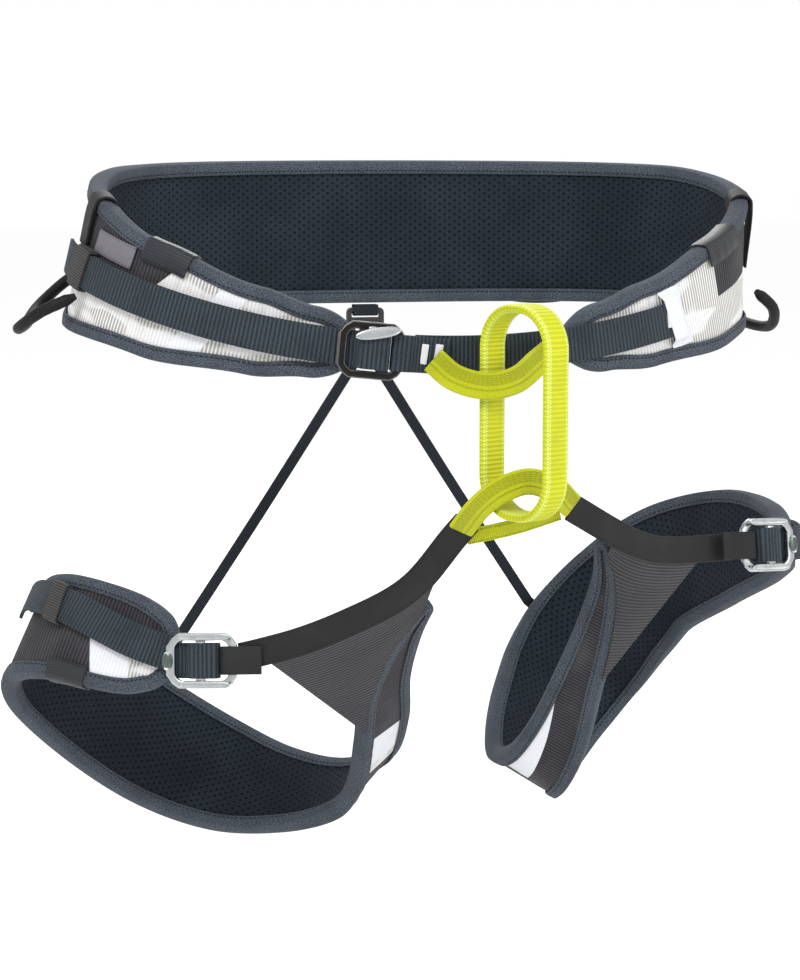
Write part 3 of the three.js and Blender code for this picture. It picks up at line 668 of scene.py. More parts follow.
class Pad:
    def __init__(self, name, b, t0, t1, r0, r1, seed):
        self.name, self.b, self.seed = name, b, seed
        self.s0, self.s1 = b.run(t0), b.run(t1)
        self.r0, self.r1 = r0, r1

    def half(self, s):
        h = self.b.half(self.b.find(s))
        for d, r in ((s - self.s0, self.r0), (self.s1 - s, self.r1)):
            if d < r:
                h *= sqrt(max(0, 1 - ((r - d) / r) ** 2))
        return h

    def stations(self, pitch):
        n = max(8, int((self.s1 - self.s0) / pitch))
        inner = [self.s0 + self.r0 + (self.s1 - self.r1 - self.s0 - self.r0) * i / n for i in range(n + 1)]
        first = [self.s0 + self.r0 * (1 - cos(a * pi / 20)) for a in range(0, 10)]
        last = [self.s1 - self.r1 * (1 - cos(a * pi / 20)) for a in range(9, -1, -1)]
        return first + inner + last

    def padding(self, lining, shell, nodes, pitch=2.6, rows=26):
        rings, coords = [], []
        b = self.b
        for s in self.stations(pitch):
            t, h = b.find(s), max(0.4, self.half(s) - 0.3)
            o, _, u, w = b.frame(t)
            face, back = [], []
            for k in range(rows + 1):
                x = -1 + 2 * k / rows
                edge = (1 - abs(x) ** 7) ** 0.5
                puff = 0.35 * wobble(s, x * h, self.seed) * (1 - x * x)
                near_rim = max(0, abs(x) * 1.6 - 0.9) if h > 8 else 0
                pucker = 0.22 * sin(s * 0.9 + 1.7 * sin(s * 0.13)) * near_rim
                face.append((x * h, (HALF_PAD + puff + pucker) * edge))
                back.append((-x * h, -(HALF_PAD - puff * 0.5 + pucker) * edge))
            ring = face[1:-1] + [face[-1]] + back[1:-1] + [back[-1]]
            rings.append([o + u * v + w * n for v, n in ring])
            coords.append([(s, v) for v, n in ring])
        obj = tube(self.name + "_padding", rings, coords, lining, smooth=180)
        obj.data.materials.append(shell)
        n = len(rings[0])
        outside = [k < n // 2 - 1 or k == n - 1 for k in range(n)]
        obj.data.polygons.foreach_set("material_index", outside * (len(rings) - 1) + [False, False])
        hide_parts(*nodes)
        return obj

    def rim(self, pitch=2.4):
        """Points (s, v) round the pad's edge."""
        up = [(s, self.half(s)) for s in self.stations(pitch)]
        down = [(s, -h) for s, h in reversed(up)]
        loop = up + down
        out = []
        for p in loop:
            if not out or hypot(p[0] - out[-1][0], p[1] - out[-1][1]) > 0.35:
                out.append(p)
        if hypot(out[0][0] - out[-1][0], out[0][1] - out[-1][1]) < 0.35:
            out.pop()
        return out

    def binding(self, material, nodes, reach=7.0, span=None, name=None, lift=0.25):
        """Edge tape folded over the pad's rim, all round, or over the rim points with span(s, v) true."""
        b, loop = self.b, self.rim()
        count = len(loop)
        thick = 1.0
        o, i = HALF_PAD + lift + thick, HALF_PAD + lift
        run, rings, coords = 0.0, [], []
        for k, (s, v) in enumerate(loop):
            p, q = loop[k - 1], loop[(k + 1) % count]
            ds, dv = q[0] - p[0], q[1] - p[1]
            size = hypot(ds, dv) or 1
            es, ev = -dv / size, ds / size
            run += hypot(s - p[0], v - p[1]) if k else 0
            if span and not span(s, v):
                continue
            far = min(reach, max(1.5, self.half(s) * 0.8) if abs(ev) > 0.8 else 4.5 + 2.5 * abs(ev))
            t = b.find(s)
            c, along, u, w = b.frame(t)
            ripple = 0.25 * sin(run * 0.8 + 1.3 * sin(run * 0.11)) + 0.15 * wobble(run, 0, self.seed)
            upper = [(-far, o - 0.55), (-far + 0.5, o + ripple * 0.5), (-far * 0.5, o + 0.25 + ripple),
                     (0.2, o), (lift + thick * 0.7, o * 0.72)]
            profile = upper + [(lift + thick + 0.3, 0)] + [(a, -n) for a, n in reversed(upper)]
            profile += [(-far + 0.4, -i), (0.1, -i + 0.2), (lift, 0), (0.1, i - 0.2), (-far + 0.4, i)]
            length, mark = [], 0.0
            for j, (a, n) in enumerate(profile[:11]):
                if j:
                    mark += hypot(a - profile[j - 1][0], n - profile[j - 1][1])
                length.append(mark)
            middle = length[5]
            scale = 10.0 / middle if middle else 1
            out = along * es + u * ev
            base = c + u * v
            rings.append([base + out * a + w * n for a, n in profile])
            coords.append([(run, (x - middle) * scale) for x in length] + [(run, 0.0)] * 5)
        obj = tube(name or self.name + "_binding", rings, coords, material, closed=not span)
        if nodes:
            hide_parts(*nodes)
        return obj


# ---------- hard pieces, shaped in edit mode ------------------
def alone(obj=None):
    if bpy.context.object and bpy.context.object.mode != "OBJECT":
        bpy.ops.object.mode_set(mode="OBJECT")
    bpy.ops.object.select_all(action="DESELECT")
    if obj:
        obj.select_set(True)
        bpy.context.view_layer.objects.active = obj
    return obj


def pick(obj, kind, test):
    """Selects only the faces or edges whose middle passes the test, in edit mode."""
    bpy.ops.object.mode_set(mode="EDIT")
    bpy.ops.mesh.select_mode(type={"faces": "FACE", "edges": "EDGE"}[kind])
    bm = bmesh.from_edit_mesh(obj.data)
    for group in (bm.verts, bm.edges, bm.faces):
        for e in group:
            e.select = False
    for e in getattr(bm, kind):
        middle = sum((v.co for v in e.verts), Vector()) / len(e.verts)
        e.select = bool(test(middle, e))
    bm.select_flush_mode()
    bmesh.update_edit_mesh(obj.data)


def settle(obj, name, place, material=None):
    """Puts a finished piece's mesh in its flat place and smooths it."""
    alone(obj)
    obj.name = obj.data.name = name
    obj.data.transform(obj.matrix_world)
    obj.matrix_world = Matrix.Identity(4)
    obj.data.transform(Matrix.Scale(MM, 4) @ place)
    bpy.ops.object.mode_set(mode="EDIT")
    bpy.ops.mesh.select_all(action="SELECT")
    bpy.ops.mesh.normals_make_consistent(inside=False)
    bpy.ops.object.mode_set(mode="OBJECT")
    if material:
        obj.data.materials.append(material)
    bpy.ops.object.shade_smooth_by_angle(angle=radians(35))


def block(size, at=(0, 0, 0)):
    alone()
    bpy.ops.mesh.primitive_cube_add(size=1, location=at)
    obj = bpy.context.object
    obj.scale = size
    bpy.ops.object.transform_apply(location=True, scale=True)
    return obj


def soften(obj, width, segments=2, angle=30, edge=-1):
    alone(obj)
    m = obj.modifiers.new("soften", "BEVEL")
    m.width, m.segments, m.material = width, segments, edge
    m.limit_method, m.angle_limit = "ANGLE", radians(angle)
    bpy.ops.object.modifier_apply(modifier=m.name)


def join(obj, *others):
    alone(obj)
    for o in others:
        o.select_set(True)
    bpy.context.view_layer.objects.active = obj
    bpy.ops.object.join()
    return obj


def cut(obj, cutter):
    alone(obj)
    m = obj.modifiers.new("cut", "BOOLEAN")
    m.operation, m.object, m.solver = "DIFFERENCE", cutter, "EXACT"
    bpy.ops.object.modifier_apply(modifier=m.name)
    bpy.data.objects.remove(cutter)


def buckle_boss(length):
    """Round boss with a sunk disc of darker metal, at the outer rail."""
    alone()
    bpy.ops.mesh.primitive_cylinder_add(vertices=40, radius=5.2, depth=1.2,
                                        location=(length / 2 - 0.2, 0, FRAME1 + 0.25))
    boss = bpy.context.object
    boss.scale = (0.62, 1, 1)
    bpy.ops.object.transform_apply(location=True, scale=True)
    pick(boss, "faces", lambda c, f: f.normal.z > 0.9)
    for sink in (-0.6, 0.45):
        bpy.ops.mesh.inset(thickness=0.9)
        bpy.ops.transform.translate(value=(0, 0, sink))
    bpy.ops.object.mode_set(mode="OBJECT")
    soften(boss, 0.2, 2, 25)
    for m in (silver, disc_metal):
        boss.data.materials.append(m)
    for f in boss.data.polygons:
        f.material_index = 1 if f.normal.z > 0.5 and abs(f.center.y) < 4.0 else 0
    return boss


def buckle_frame(name, place, length, materials, node, body, boss=True):
    """Eight-sided plate with a window, its outer rail swollen; the last material is on its worn edges."""
    height = WEBBING_WIDTH + 11
    obj = block((length, height, FRAME1 - FRAME0), (0, 0, (FRAME0 + FRAME1) / 2))
    pick(obj, "edges", lambda c, e: abs(c.z - (FRAME0 + FRAME1) / 2) < 0.1)
    bpy.ops.mesh.bevel(offset=6.5, segments=2, profile=0.35)
    pick(obj, "faces", lambda c, f: abs(f.normal.z) > 0.9)
    bpy.ops.mesh.inset(thickness=4.3, use_boundary=True)
    bpy.ops.mesh.bridge_edge_loops()
    bpy.ops.object.mode_set(mode="OBJECT")
    # outer rail swells towards the pad
    pick(obj, "faces", lambda c, f: c.x > length / 2 - 0.5)
    bpy.ops.mesh.inset(thickness=0.7)
    bpy.ops.transform.translate(value=(1.2, 0, 0))
    bpy.ops.object.mode_set(mode="OBJECT")
    for m in materials:
        obj.data.materials.append(m)
    soften(obj, 0.7, 3, 25, len(materials) - 1)
    if boss:
        join(obj, buckle_boss(length))
    settle(obj, name, place)
    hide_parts(node)
    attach(obj, body)


def bar_head(flange, wide, tip, where, tilt):
    """Dished flange at a bar's end, a long oval that is blunter the higher its tip value is."""
    alone()
    bpy.ops.mesh.primitive_cylinder_add(vertices=48, radius=1, depth=2.4, location=(0, 0, 0))
    head = bpy.context.object
    head.scale = (flange / 2, wide, 1)
    bpy.ops.object.transform_apply(scale=True)
    for v in head.data.vertices:
        k = min(1, abs(v.co.x) / (flange / 2))
        v.co.y = (1 if v.co.y > 0 else -1) * max(0.5, wide * (1 - k ** tip) ** 0.5)
    pick(head, "faces", lambda c, f: f.normal.z > 0.9)
    for rim, rise in ((0.55, 0.35), (0.45, -0.45)):
        bpy.ops.mesh.inset(thickness=rim)
        bpy.ops.transform.translate(value=(0, 0, rise))
    bpy.ops.object.mode_set(mode="OBJECT")
    soften(head, 0.3, 2, 25)
    head.data.transform(Matrix.Translation(where) @ Matrix.Rotation(radians(tilt), 4, "Z"))
    return head


def slide_bar(name, place, node, body, flange, tip, wide, out, sides=(1, -1), tilt=0.0, lift=0.3):
    """Bar inside the webbing fold, with a flange at each of its sides, out from its middle."""
    both = len(sides) == 2
    bar = block((5.6, WEBBING_WIDTH + (6.5 if both else 1.5), 2.2),
                (0, 0 if both else 2.5, (BAR0 + BAR1) / 2))
    soften(bar, 0.9, 3)
    join(bar, *(bar_head(flange, wide, tip, (-2.5, side * out, BAR1 + lift), tilt) for side in sides))
    settle(bar, name, place, silver)
    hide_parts(node)
    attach(bar, body)


# ---------- finishes ----------
mesh_cloth = perforated_mesh()
heather = heather_tape()
slate = slate_webbing()
black_tape = smooth_tape("smooth_tape")
stitched_tape = smooth_tape("stitched_tape", rows=(-6.6, 6.6))
riser_cloth = riser_tape()
gusset_cloth = ribbed_gusset()
lime_loop = lime_webbing("lime_loop", 2.5, mint_half=8.0)
lime_tie = lime_webbing("lime_tie_in", 0.8, rows=(-2.6, 0.4, 1.6, 2.8, 4.0, 5.2))
lime_cross = lime_webbing("lime_cross", 1.2, rows=(-3.2, 3.2))
wrap_cloth = plain_cloth("edge_wrap", (0.006, 0.007, 0.009), (0.024, 0.027, 0.033), rough=0.42,
                         rows=(-9.4, 9.4))
label_cloth = plain_cloth("label_grey", (0.115, 0.110, 0.125), (0.190, 0.185, 0.205), rough=0.6,
                          rows=(-5.6, 5.6))
white_cloth = plain_cloth("white_band", (0.56, 0.58, 0.61), (0.70, 0.71, 0.74), rough=0.7)
elastic = ribbed_elastic()
white_thread = close_stitches()
silver = metal("satin_silver", (0.30, 0.32, 0.33), (0.50, 0.52, 0.52), rough=0.3, scratch=0.25)
worn_metal = metal("worn_edge", (0.030, 0.028, 0.026), (0.20, 0.195, 0.19), rough=0.38)
dark_metal = metal("dark_anodised", (0.004, 0.0035, 0.003), (0.014, 0.0125, 0.011), rough=0.34, metallic=0.7)
disc_metal = metal("buckle_disc", (0.05, 0.065, 0.06), (0.16, 0.19, 0.18), rough=0.3)
loop_plastic = moulded("loop_plastic", (0.002, 0.002, 0.0025), (0.006, 0.006, 0.0065), rough=0.6)
dot_plastic = moulded("dot_plastic", (0.42, 0.50, 0.01), (0.60, 0.68, 0.02), rough=0.45)
clip_plastic = moulded("clip_plastic", (0.020, 0.020, 0.019), (0.042, 0.041, 0.040), rough=0.5)

waist_pad = Pad("waist", belt, 0.0, 1.0, 16, 16, 0.7)


def at_angle(degrees):
    return belt.run(turn(degrees))


waist_shell = striped_shell(
    "waist_shell",
    white=[[(1, 0.57, 207), (-1, -0.57, -224)]],
    dark=[[(1, 0.8, 259), (0, 1, -1), before(at_angle(124))], [after(at_angle(-72)), before(at_angle(82))]])
left_shell = striped_shell(
    "left_leg_shell",
    white=[[(1, -0.2, 211), (-1, 0.4, -238)], [after(614), before(642)]],
    dark=[[(1, -0.4, 238), before(606)], [after(642)], [(0, 1, 7), before(300)]])
right_shell = striped_shell(
    "right_leg_shell",
    white=[[(-1, 8.5, -520), after(520), before(640)]],
    dark=[[before(518)], [(1, -8.5, 520), after(518)], [after(640)]])

# ---------- waist ring ----------
waist_padding = waist_pad.padding(mesh_cloth, waist_shell, ["waist_lining", "waist_foam", "waist_shell"],
                                  pitch=3.0)
waist_binding = waist_pad.binding(heather, ["waist_upper_edge", "waist_lower_edge"])
for o in (waist_padding, waist_binding):
    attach(o, "belt")

for name, low, high, sign in (("left_edge_wrap", -130, -118, 1), ("right_edge_wrap", 113, 127, 1)):
    a, c = at_angle(low), at_angle(high)
    o = waist_pad.binding(wrap_cloth, [], 11.5, lambda s, v: a < s < c and v * sign > 0, name, lift=WRAP_LIFT)
    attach(o, "belt")


def laid(name, b, t0, t1, n, material, node, body, v=0.0, width=WEBBING_WIDTH, thick=WEBBING_THICK,
         steps=90, notch=0.4):
    """A strap or label lying on a band from t0 to t1."""
    points, across = on_band(b, t0, t1, n, v, steps)
    o = ribbon(name, points, across, width, thick, material, notch=notch)
    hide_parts(node)
    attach(o, body)


laid("left_label", belt, turn(-115.5), turn(-101), HALF_PAD + 0.95, label_cloth, "left_patch", "belt",
     v=18.0, width=13.0, thick=0.7, steps=24, notch=0.0)

# white band down the right pad, lying over the end of the strap
BAND_HALF, BAND_STEPS, BAND_START, BAND_COLUMNS = 17.6, 48, 136.4, 13


def eased(k):
    k = clamp(k)
    return k * k * (3 - 2 * k)


rings, coords = [], []
for k in range(BAND_STEPS + 1):
    v = -BAND_HALF + k * 2 * BAND_HALF / BAND_STEPS
    over = eased((16 - abs(v)) / 4.5)
    section = []
    for side in (1, -1):
        for j in range(BAND_COLUMNS)[::side]:
            t = turn(BAND_START + 0.05 * v + 0.44 * j)
            lift = HALF_PAD + 0.75 + (WEBBING_THICK + 2.4) * eased((j - 1.5) / 3) * over
            section.append((t, lift + side * 0.3))
    rings.append([belt.at(t, v, n) for t, n in section])
    coords.append([(belt.run(t), v) for t, n in section])
right_band = tube("right_band", rings, coords, white_cloth)
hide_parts("right_patch")
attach(right_band, "belt")

# sewn webbing and its tail on the left pad
BUCKLE_TURN = turn(-BELT_WRAP - 1.6)
buckle_place = belt.place(BUCKLE_TURN)


waist_start = belt.find(belt.run(BUCKLE_TURN) + WAIST_BUCKLE / 2 + 1.5)
laid("waist_sewn_webbing", belt, waist_start, turn(-95), FIRST, slate, "waist_webbing", "belt")
laid("waist_tail_webbing", belt, waist_start, turn(-89), SECOND, slate, "waist_tail", "belt")
laid("front_strap_webbing", belt, turn(139), turn(188.4), FIRST, slate, "front_strap", "belt")


def keeper(name, b, t0, t1, v, node, body):
    """Elastic band over a tail: closed loop section swept along the band."""
    w, low, high = WEBBING_WIDTH / 2 + 0.7, SKIN + 0.3, SECOND + WEBBING_THICK / 2 + 0.5
    outer = [(w + 1.2, low), (w + 1.25, high - 0.6), (w + 0.6, high + 0.8), (w - 0.8, high + 1.15)]
    inner = [(-w, low), (-w, high - 0.6), (-w + 0.5, high)]
    section = outer + [(0, high + 1.3)] + [(-a, c) for a, c in reversed(outer)]
    section += inner + [(0, high + 0.15)] + [(-a, c) for a, c in reversed(inner)]
    rings, coords = [], []
    for i in range(13):
        t = t0 + (t1 - t0) * i / 12
        o, _, u, n = b.frame(t)
        swell = 1 + 0.02 * sin(i / 12 * pi)
        k = v(t) if callable(v) else v
        rings.append([o + u * (k + a * swell) + n * c for a, c in section])
        coords.append([(a, i * 0.6) for a, c in section])
    o = tube(name, rings, coords, elastic, smooth=50)
    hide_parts(node)
    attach(o, body)


keeper("waist_elastic", belt, turn(-104), turn(-97.6), 0.0, "waist_keeper", "belt")

# ---------- buckles ----------
FAR, NEAR = 9.2, 6.2
TOP = BAR1 + STRAP_GAP + WEBBING_THICK / 2


def webbing_fold(name, place, length, node, body):
    """Webbing that comes up through the window, round the bar and back under the buckle."""
    path = [(-length / 2 - 3, FIRST), (2, FIRST), (FAR - 3.2, FIRST + 0.1), (FAR - 0.9, FIRST + 1.5),
            (FAR, FRAME0), (FAR, BAR0), (FAR - 0.5, TOP - 1.2), (FAR - 2.2, TOP),
            (1.5, TOP + 0.35), (3.2 - NEAR, TOP), (1.0 - NEAR, TOP - 1), (-NEAR, BAR0),
            (-NEAR - 1.3, FRAME0 + 1), (-NEAR - 3.3, SECOND + 0.6), (-NEAR - 5.8, SECOND),
            (-length / 2 - 3, SECOND)]
    points = folded(place, [(-x, z) for x, z in path], steps=110)
    o = ribbon(name, points, Vector(place.col[1][:3]), WEBBING_WIDTH, WEBBING_THICK, slate, notch=0.4)
    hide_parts(node)
    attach(o, body)


buckle_frame("waist_buckle", buckle_place, WAIST_BUCKLE, [dark_metal, worn_metal], "waist_buckle_frame",
             "belt", boss=False)
slide_bar("waist_slide_bar", buckle_place, "waist_buckle_bar", "waist_bar",
          flange=25, tip=2.6, wide=2.9, out=10.2, sides=(1,), tilt=-13, lift=3.4)
webbing_fold("waist_webbing_fold", buckle_place, WAIST_BUCKLE, "waist_webbing_loop", "belt")
rail = 2.5 - WAIST_BUCKLE / 2
hug = WEBBING_THICK / 2 + 0.3
inner = rail + 2.5 + hug
path = [(rail - 27, 7.4), (rail - 21, 8.1), (rail - 14, 9.0), (rail - 8.5, 11.6),
        (rail - 4.5, FRAME1 + hug - 0.8),
        (rail - 1.5, FRAME1 + hug), (inner - 1.3, FRAME1 + hug), (inner, FRAME1), (inner, FRAME0),
        (inner - 1.3, FRAME0 - hug), (rail - 1.5, FRAME0 - hug), (rail - 9, 7.7)]
o = ribbon("front_strap_fold", folded(buckle_place, path, steps=90), Vector(buckle_place.col[1][:3]),
           WEBBING_WIDTH, WEBBING_THICK, slate, notch=0.4)
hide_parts("front_strap_loop")
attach(o, "belt")


def bartack(name, place, at, size, spin):
    """A raised block of close white stitches on a flat place of the waist ring."""
    o = block((size[0], size[1], 0.9))
    pick(o, "faces", lambda c, f: f.normal.z > 0.9)
    bpy.ops.mesh.inset(thickness=0.5)
    bpy.ops.transform.translate(value=(0, 0, 0.25))
    bpy.ops.object.mode_set(mode="OBJECT")
    soften(o, 0.25, 2)
    layer = o.data.uv_layers.new(name="weave")
    for corner in o.data.loops:
        p = o.data.vertices[corner.vertex_index].co
        layer.data[corner.index].uv = (p.x * MM, p.y * MM)
    while len(o.data.uv_layers) > 1:
        o.data.uv_layers.remove(next(l for l in o.data.uv_layers if l.name != "weave"))
    settle(o, name, place @ Matrix.Translation(at) @ Matrix.Rotation(radians(spin), 4, "Z"), white_thread)
    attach(o, "belt")


bartack("front_bartack_inner", buckle_place, (rail - 13.5, 0.5, 10.2), (4.2, 11), 3)
bartack("front_bartack_outer", buckle_place, (rail - 21.5, 0.5, 9.1), (4.2, 12), 3)
strap_end = belt.place(turn(141.6))
bartack("right_strap_bartack", strap_end, (0, 2, FIRST + 1.25), (2.6, 12), 8)


def over_edge(name, degrees, low):
    """Webbing sewn under the strap, folded up over the pad's top edge."""
    t = turn(degrees)
    h = belt.half(t)
    path = [(low, SKIN - 0.2), (h - 6, SKIN + 0.9), (h + 0.5, SKIN - 0.4), (h + 3.0, 0),
            (h + 0.5, -SKIN + 0.6),
            (h - 7, -SKIN - 0.3)]
    line = spline([(0, v, n) for v, n in path], True)
    p = belt.place(t)
    o = ribbon(name, [p @ q for q in along_line(line, 50)], Vector(p.col[0][:3]), 14, 1.5, black_tape,
               notch=0.3)
    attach(o, "belt")


over_edge("left_hanger_strap", -94, 10.5)
over_edge("right_hanger_strap", 95, -4)


# ---------- leg loops ----------
def beside(a, b, from_a, from_b):
    """The flat point at the two given distances from a and b, left of the line from a to b."""
    line = b - a
    along = (from_a ** 2 - from_b ** 2 + line.length_squared) / (2 * line.length)
    out = max(0.0, from_a ** 2 - along ** 2) ** 0.5
    line.normalize()
    return a + line * along + Vector((-line.y, line.x)) * out


def flat_cut(left, right):
    """Width and length of the smallest rectangle round the strip between two rails, laid out flat."""
    p, q = Vector((0, 0)), Vector(((right[0] - left[0]).length, 0))
    spots = [p, q]
    for i in range(1, len(left)):
        corner = beside(p, q, (left[i] - left[i - 1]).length, (left[i] - right[i - 1]).length)
        q = beside(corner, q, (right[i] - left[i]).length, (right[i] - right[i - 1]).length)
        p = corner
        spots += [p, q]
    boxes = []
    for degrees in range(0, 90):
        u = Vector((cos(radians(degrees)), sin(radians(degrees))))
        along, across = [s.dot(u) for s in spots], [s.dot(Vector((-u.y, u.x))) for s in spots]
        boxes.append(sorted((max(along) - min(along), max(across) - min(across))))
    return min(boxes, key=lambda box: box[0] * box[1])


def leg(name, b, last, tape_start, pad_tip, top, webbing_end, rise_to, gusset_tape, gusset_top, shell, seed):
    """A leg loop on its band; its places along the band are counted in guides, the last of which is given."""
    side = name.split("_")[0]
    tb = 4 / last      # the buckle's place

    def at_section(guide):
        return round(guide / last * LEG_STEPS) / LEG_STEPS
    pad = Pad(name, b, pad_tip / last, at_section(top), 12, 6, seed)
    padding = pad.padding(mesh_cloth, shell, [name + "_lining", name + "_foam", name + "_shell"], pitch=2.8)
    edge = pad.binding(heather, [name + "_upper_edge", name + "_lower_edge"])
    place = b.place(tb)
    rise = through([(0, 0), (2.5 / last, 1), (1, 1)])
    pitch = (b.at(tb, 0, 0) - b.at(tb - 1 / last, 0, 0)).length * last
    end = tb - (LEG_BUCKLE / 2 + 0.8) / pitch
    level = FRAME0 - STRAP_GAP - TAPE_THICK / 2
    points, across = on_band(b, tape_start, end, lambda t: level * rise(t), 0.0, 60)
    tape = ribbon(name + "_thigh_tape", points, across, TAPE_WIDTH, TAPE_THICK, stitched_tape, notch=0.3)
    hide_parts(name + "_tape")
    bar, grip = 5 - LEG_BUCKLE / 2, 0.4 + TAPE_THICK / 2
    path = [(bar - 19, level + 2.2), (bar - 13, level + 2.5), (bar - 8, FRAME1 + grip - 1.2),
            (bar - 4, FRAME1 + grip),
            (bar + 2, FRAME1 + grip + 0.2), (bar + 3.6, FRAME1), (bar + 3.6, FRAME0),
            (bar + 2, FRAME0 - grip),
            (bar - 4, FRAME0 - grip)]
    fold = ribbon(name + "_tape_end", folded(place, path, steps=80), Vector(place.col[1][:3]),
                  TAPE_WIDTH, TAPE_THICK, black_tape, notch=0.3)
    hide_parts(name + "_tape_fold")
    lift = through([(0, 0), (4.6 / last, 1), (webbing_end / last, rise_to), (1, rise_to)])
    begin = b.find(b.run(tb) + LEG_BUCKLE / 2 + 1.5)
    laid(name + "_sewn_webbing", b, begin, at_section(webbing_end - 0.5), FIRST, slate, name + "_webbing",
         name, v=lift)
    laid(name + "_tail_webbing", b, begin, at_section(webbing_end), SECOND, slate, name + "_webbing_tail",
         name, v=lift)
    keeper(name + "_elastic", b, at_section(6.0), at_section(6.3), lift, name + "_keeper", name)
    buckle_frame(name + "_buckle", place, LEG_BUCKLE, [silver], name + "_buckle_frame", name)
    slide_bar(name + "_slide_bar", place, name + "_buckle_bar", side + "_bar",
              flange=30, tip=5, wide=2.1, out=WEBBING_WIDTH / 2 + 3.3)
    webbing_fold(name + "_webbing_fold", place, LEG_BUCKLE, name + "_webbing_loop", name)

    # ribbed gusset between the tape and the inner thigh
    def upper(k):
        t = (0.7 + (gusset_tape - 0.7) * k) / last
        return b.at(t, -TAPE_WIDTH / 2 + 1.2, level * rise(t) - 1.6)

    def thigh(k):
        t = (top - 0.1 + (gusset_top - top + 0.1) * k) / last
        return b.at(t, -b.half(t) - 1.2, 5.6)
    rows, cols = 40, 30
    rings, coords = [], []
    for i in range(rows + 1):
        k = i / rows
        p, q = upper(k), thigh(k)
        across = q - p
        ahead, behind = min(1, k + 0.02), max(0, k - 0.02)
        d = (upper(ahead) - upper(behind)) + (thigh(ahead) - thigh(behind))
        n = d.cross(across).normalized()
        line = [(x / cols, 0.4) for x in range(cols + 1)] + [(1 - x / cols, -0.4) for x in range(cols + 1)]
        rings.append([p + across * x + n * (y + 0.35 * sin(pi * x) * sin(pi * k) * sin(x * 9 + k * 5)) for x, y in line])
        coords.append([(k * 60, x * across.length) for x, y in line])
    gusset = tube(name + "_ribbed_gusset", rings, coords, gusset_cloth)
    cut = flat_cut([upper(k / rows) for k in range(rows + 1)], [thigh(k / rows) for k in range(rows + 1)])
    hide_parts(name + "_gusset")
    [side * MM for side in cut]
    for o in (padding, edge, tape, fold, gusset):
        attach(o, name)
    return pad


LEFT_LAST, RIGHT_LAST = len(LEFT_GUIDES) - 1, len(RIGHT_GUIDES) - 1
left_pad = leg("left_leg", left_leg, LEFT_LAST, tape_start=-0.011, pad_tip=4.45, top=18, webbing_end=7.2,
               rise_to=18,
               gusset_tape=3.15, gusset_top=15.4, shell=left_shell, seed=1.9)
o = left_pad.binding(wrap_cloth, [], 9.5, lambda s, v: 229 < s < 256 and v < 0, "left_leg_edge_wrap",
                     lift=WRAP_LIFT)
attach(o, "left_leg")
leg("right_leg", right_leg, RIGHT_LAST, tape_start=-0.002, pad_tip=4.65, top=20, webbing_end=7.2, rise_to=8,
    gusset_tape=2.7, gusset_top=17.3, shell=right_shell, seed=3.1)


# ---------- green tie-in points and belay loop ----------
def arc(name, origin, points, ups, width, thick, material, node, notch=0.5):
    """A strap on a smooth line through points from the origin, its width along the up directions."""
    line = along_line(spline([Vector(p) + origin for p in points], True), 60)
    lean = along_line(spline([Vector(u).normalized() for u in ups]), 60)
    o = ribbon(name, line, [u.normalized() for u in lean], width, thick, material, notch=notch)
    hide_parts(node)
    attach(o, "belt")


arc("upper_tie_in_cover", FRONT,
    [(-20, -4.6, -3), (-10, -12.6, -12), (6, -21.6, -16), (21, -23.6, -13), (36, -15.6, -4), (49, -5.6, 3)],
    [(.6, 0, .8), (.45, 0, .9), (.1, 0, 1), (-.3, 0, 1), (-.55, 0, .85), (-.45, 0, .9)],
    TIE_IN_WIDTH + 2, TIE_IN_THICK, lime_tie, "upper_tie_in")
arc("lower_tie_in_cover", FOOT,
    [(-6, -11.6, 19), (1, -23.6, 33), (11, -31.6, 43), (25, -34.6, 48), (41, -30.6, 43), (56, -15.6, 31)],
    [(-.9, 0, .4), (-.8, 0, .6), (-.4, 0, .9), (.05, 0, 1), (.45, 0, .9), (.6, 0, .8)],
    TIE_IN_WIDTH + 1.6, TIE_IN_THICK, lime_tie, "lower_tie_in")
arc("cross_strap", FOOT, [(-1, -5.6, 14), (25, -7.6, 19), (52, -5.6, 26)],
    [(.1, 0, 1), (.2, 0, 1), (.2, 0, 1)],
    9, 2, lime_cross, "cross_tape", notch=0.3)

ring_side, ring_up = Vector((0.46, -0.887, 0)).normalized(), Vector((0, 0, 1))
ring_home = Vector((11.03, -9.52, 27.5 - BELAY_LENGTH / 2)) + FRONT + ring_side * (BELAY_DEPTH / 2)
inset = BELAY_THICK / 2 - 0.6      # middle of the webbing, from the loop's outside
a, c, r = BELAY_DEPTH / 2 - inset, BELAY_LENGTH / 2 - inset, BELAY_DEPTH / 2 - 3 - inset
outline = []
for cx, cy, first in ((a - r, c - r, 0), (-a + r, c - r, 90), (-a + r, -c + r, 180), (a - r, -c + r, 270)):
    turns = [radians(first + k * 6) for k in range(16)]
    outline += [(cx + r * cos(angle), cy + r * sin(angle)) for angle in turns]
filled = []
for (x0, y0), (x1, y1) in zip(outline, outline[1:] + outline[:1]):
    n = max(1, int(hypot(x1 - x0, y1 - y0) / 2.5))
    filled += [(x0 + (x1 - x0) * k / n, y0 + (y1 - y0) * k / n) for k in range(n)]
points = [ring_home + ring_side * x + ring_up * y for x, y in filled]
belay = ribbon("belay_webbing", points, ring_side.cross(ring_up), BELAY_WIDTH + 1, BELAY_THICK + 1.2,
               lime_loop,
               closed=True, notch=0.9)
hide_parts("belay_loop")
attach(belay, "belay_ring")


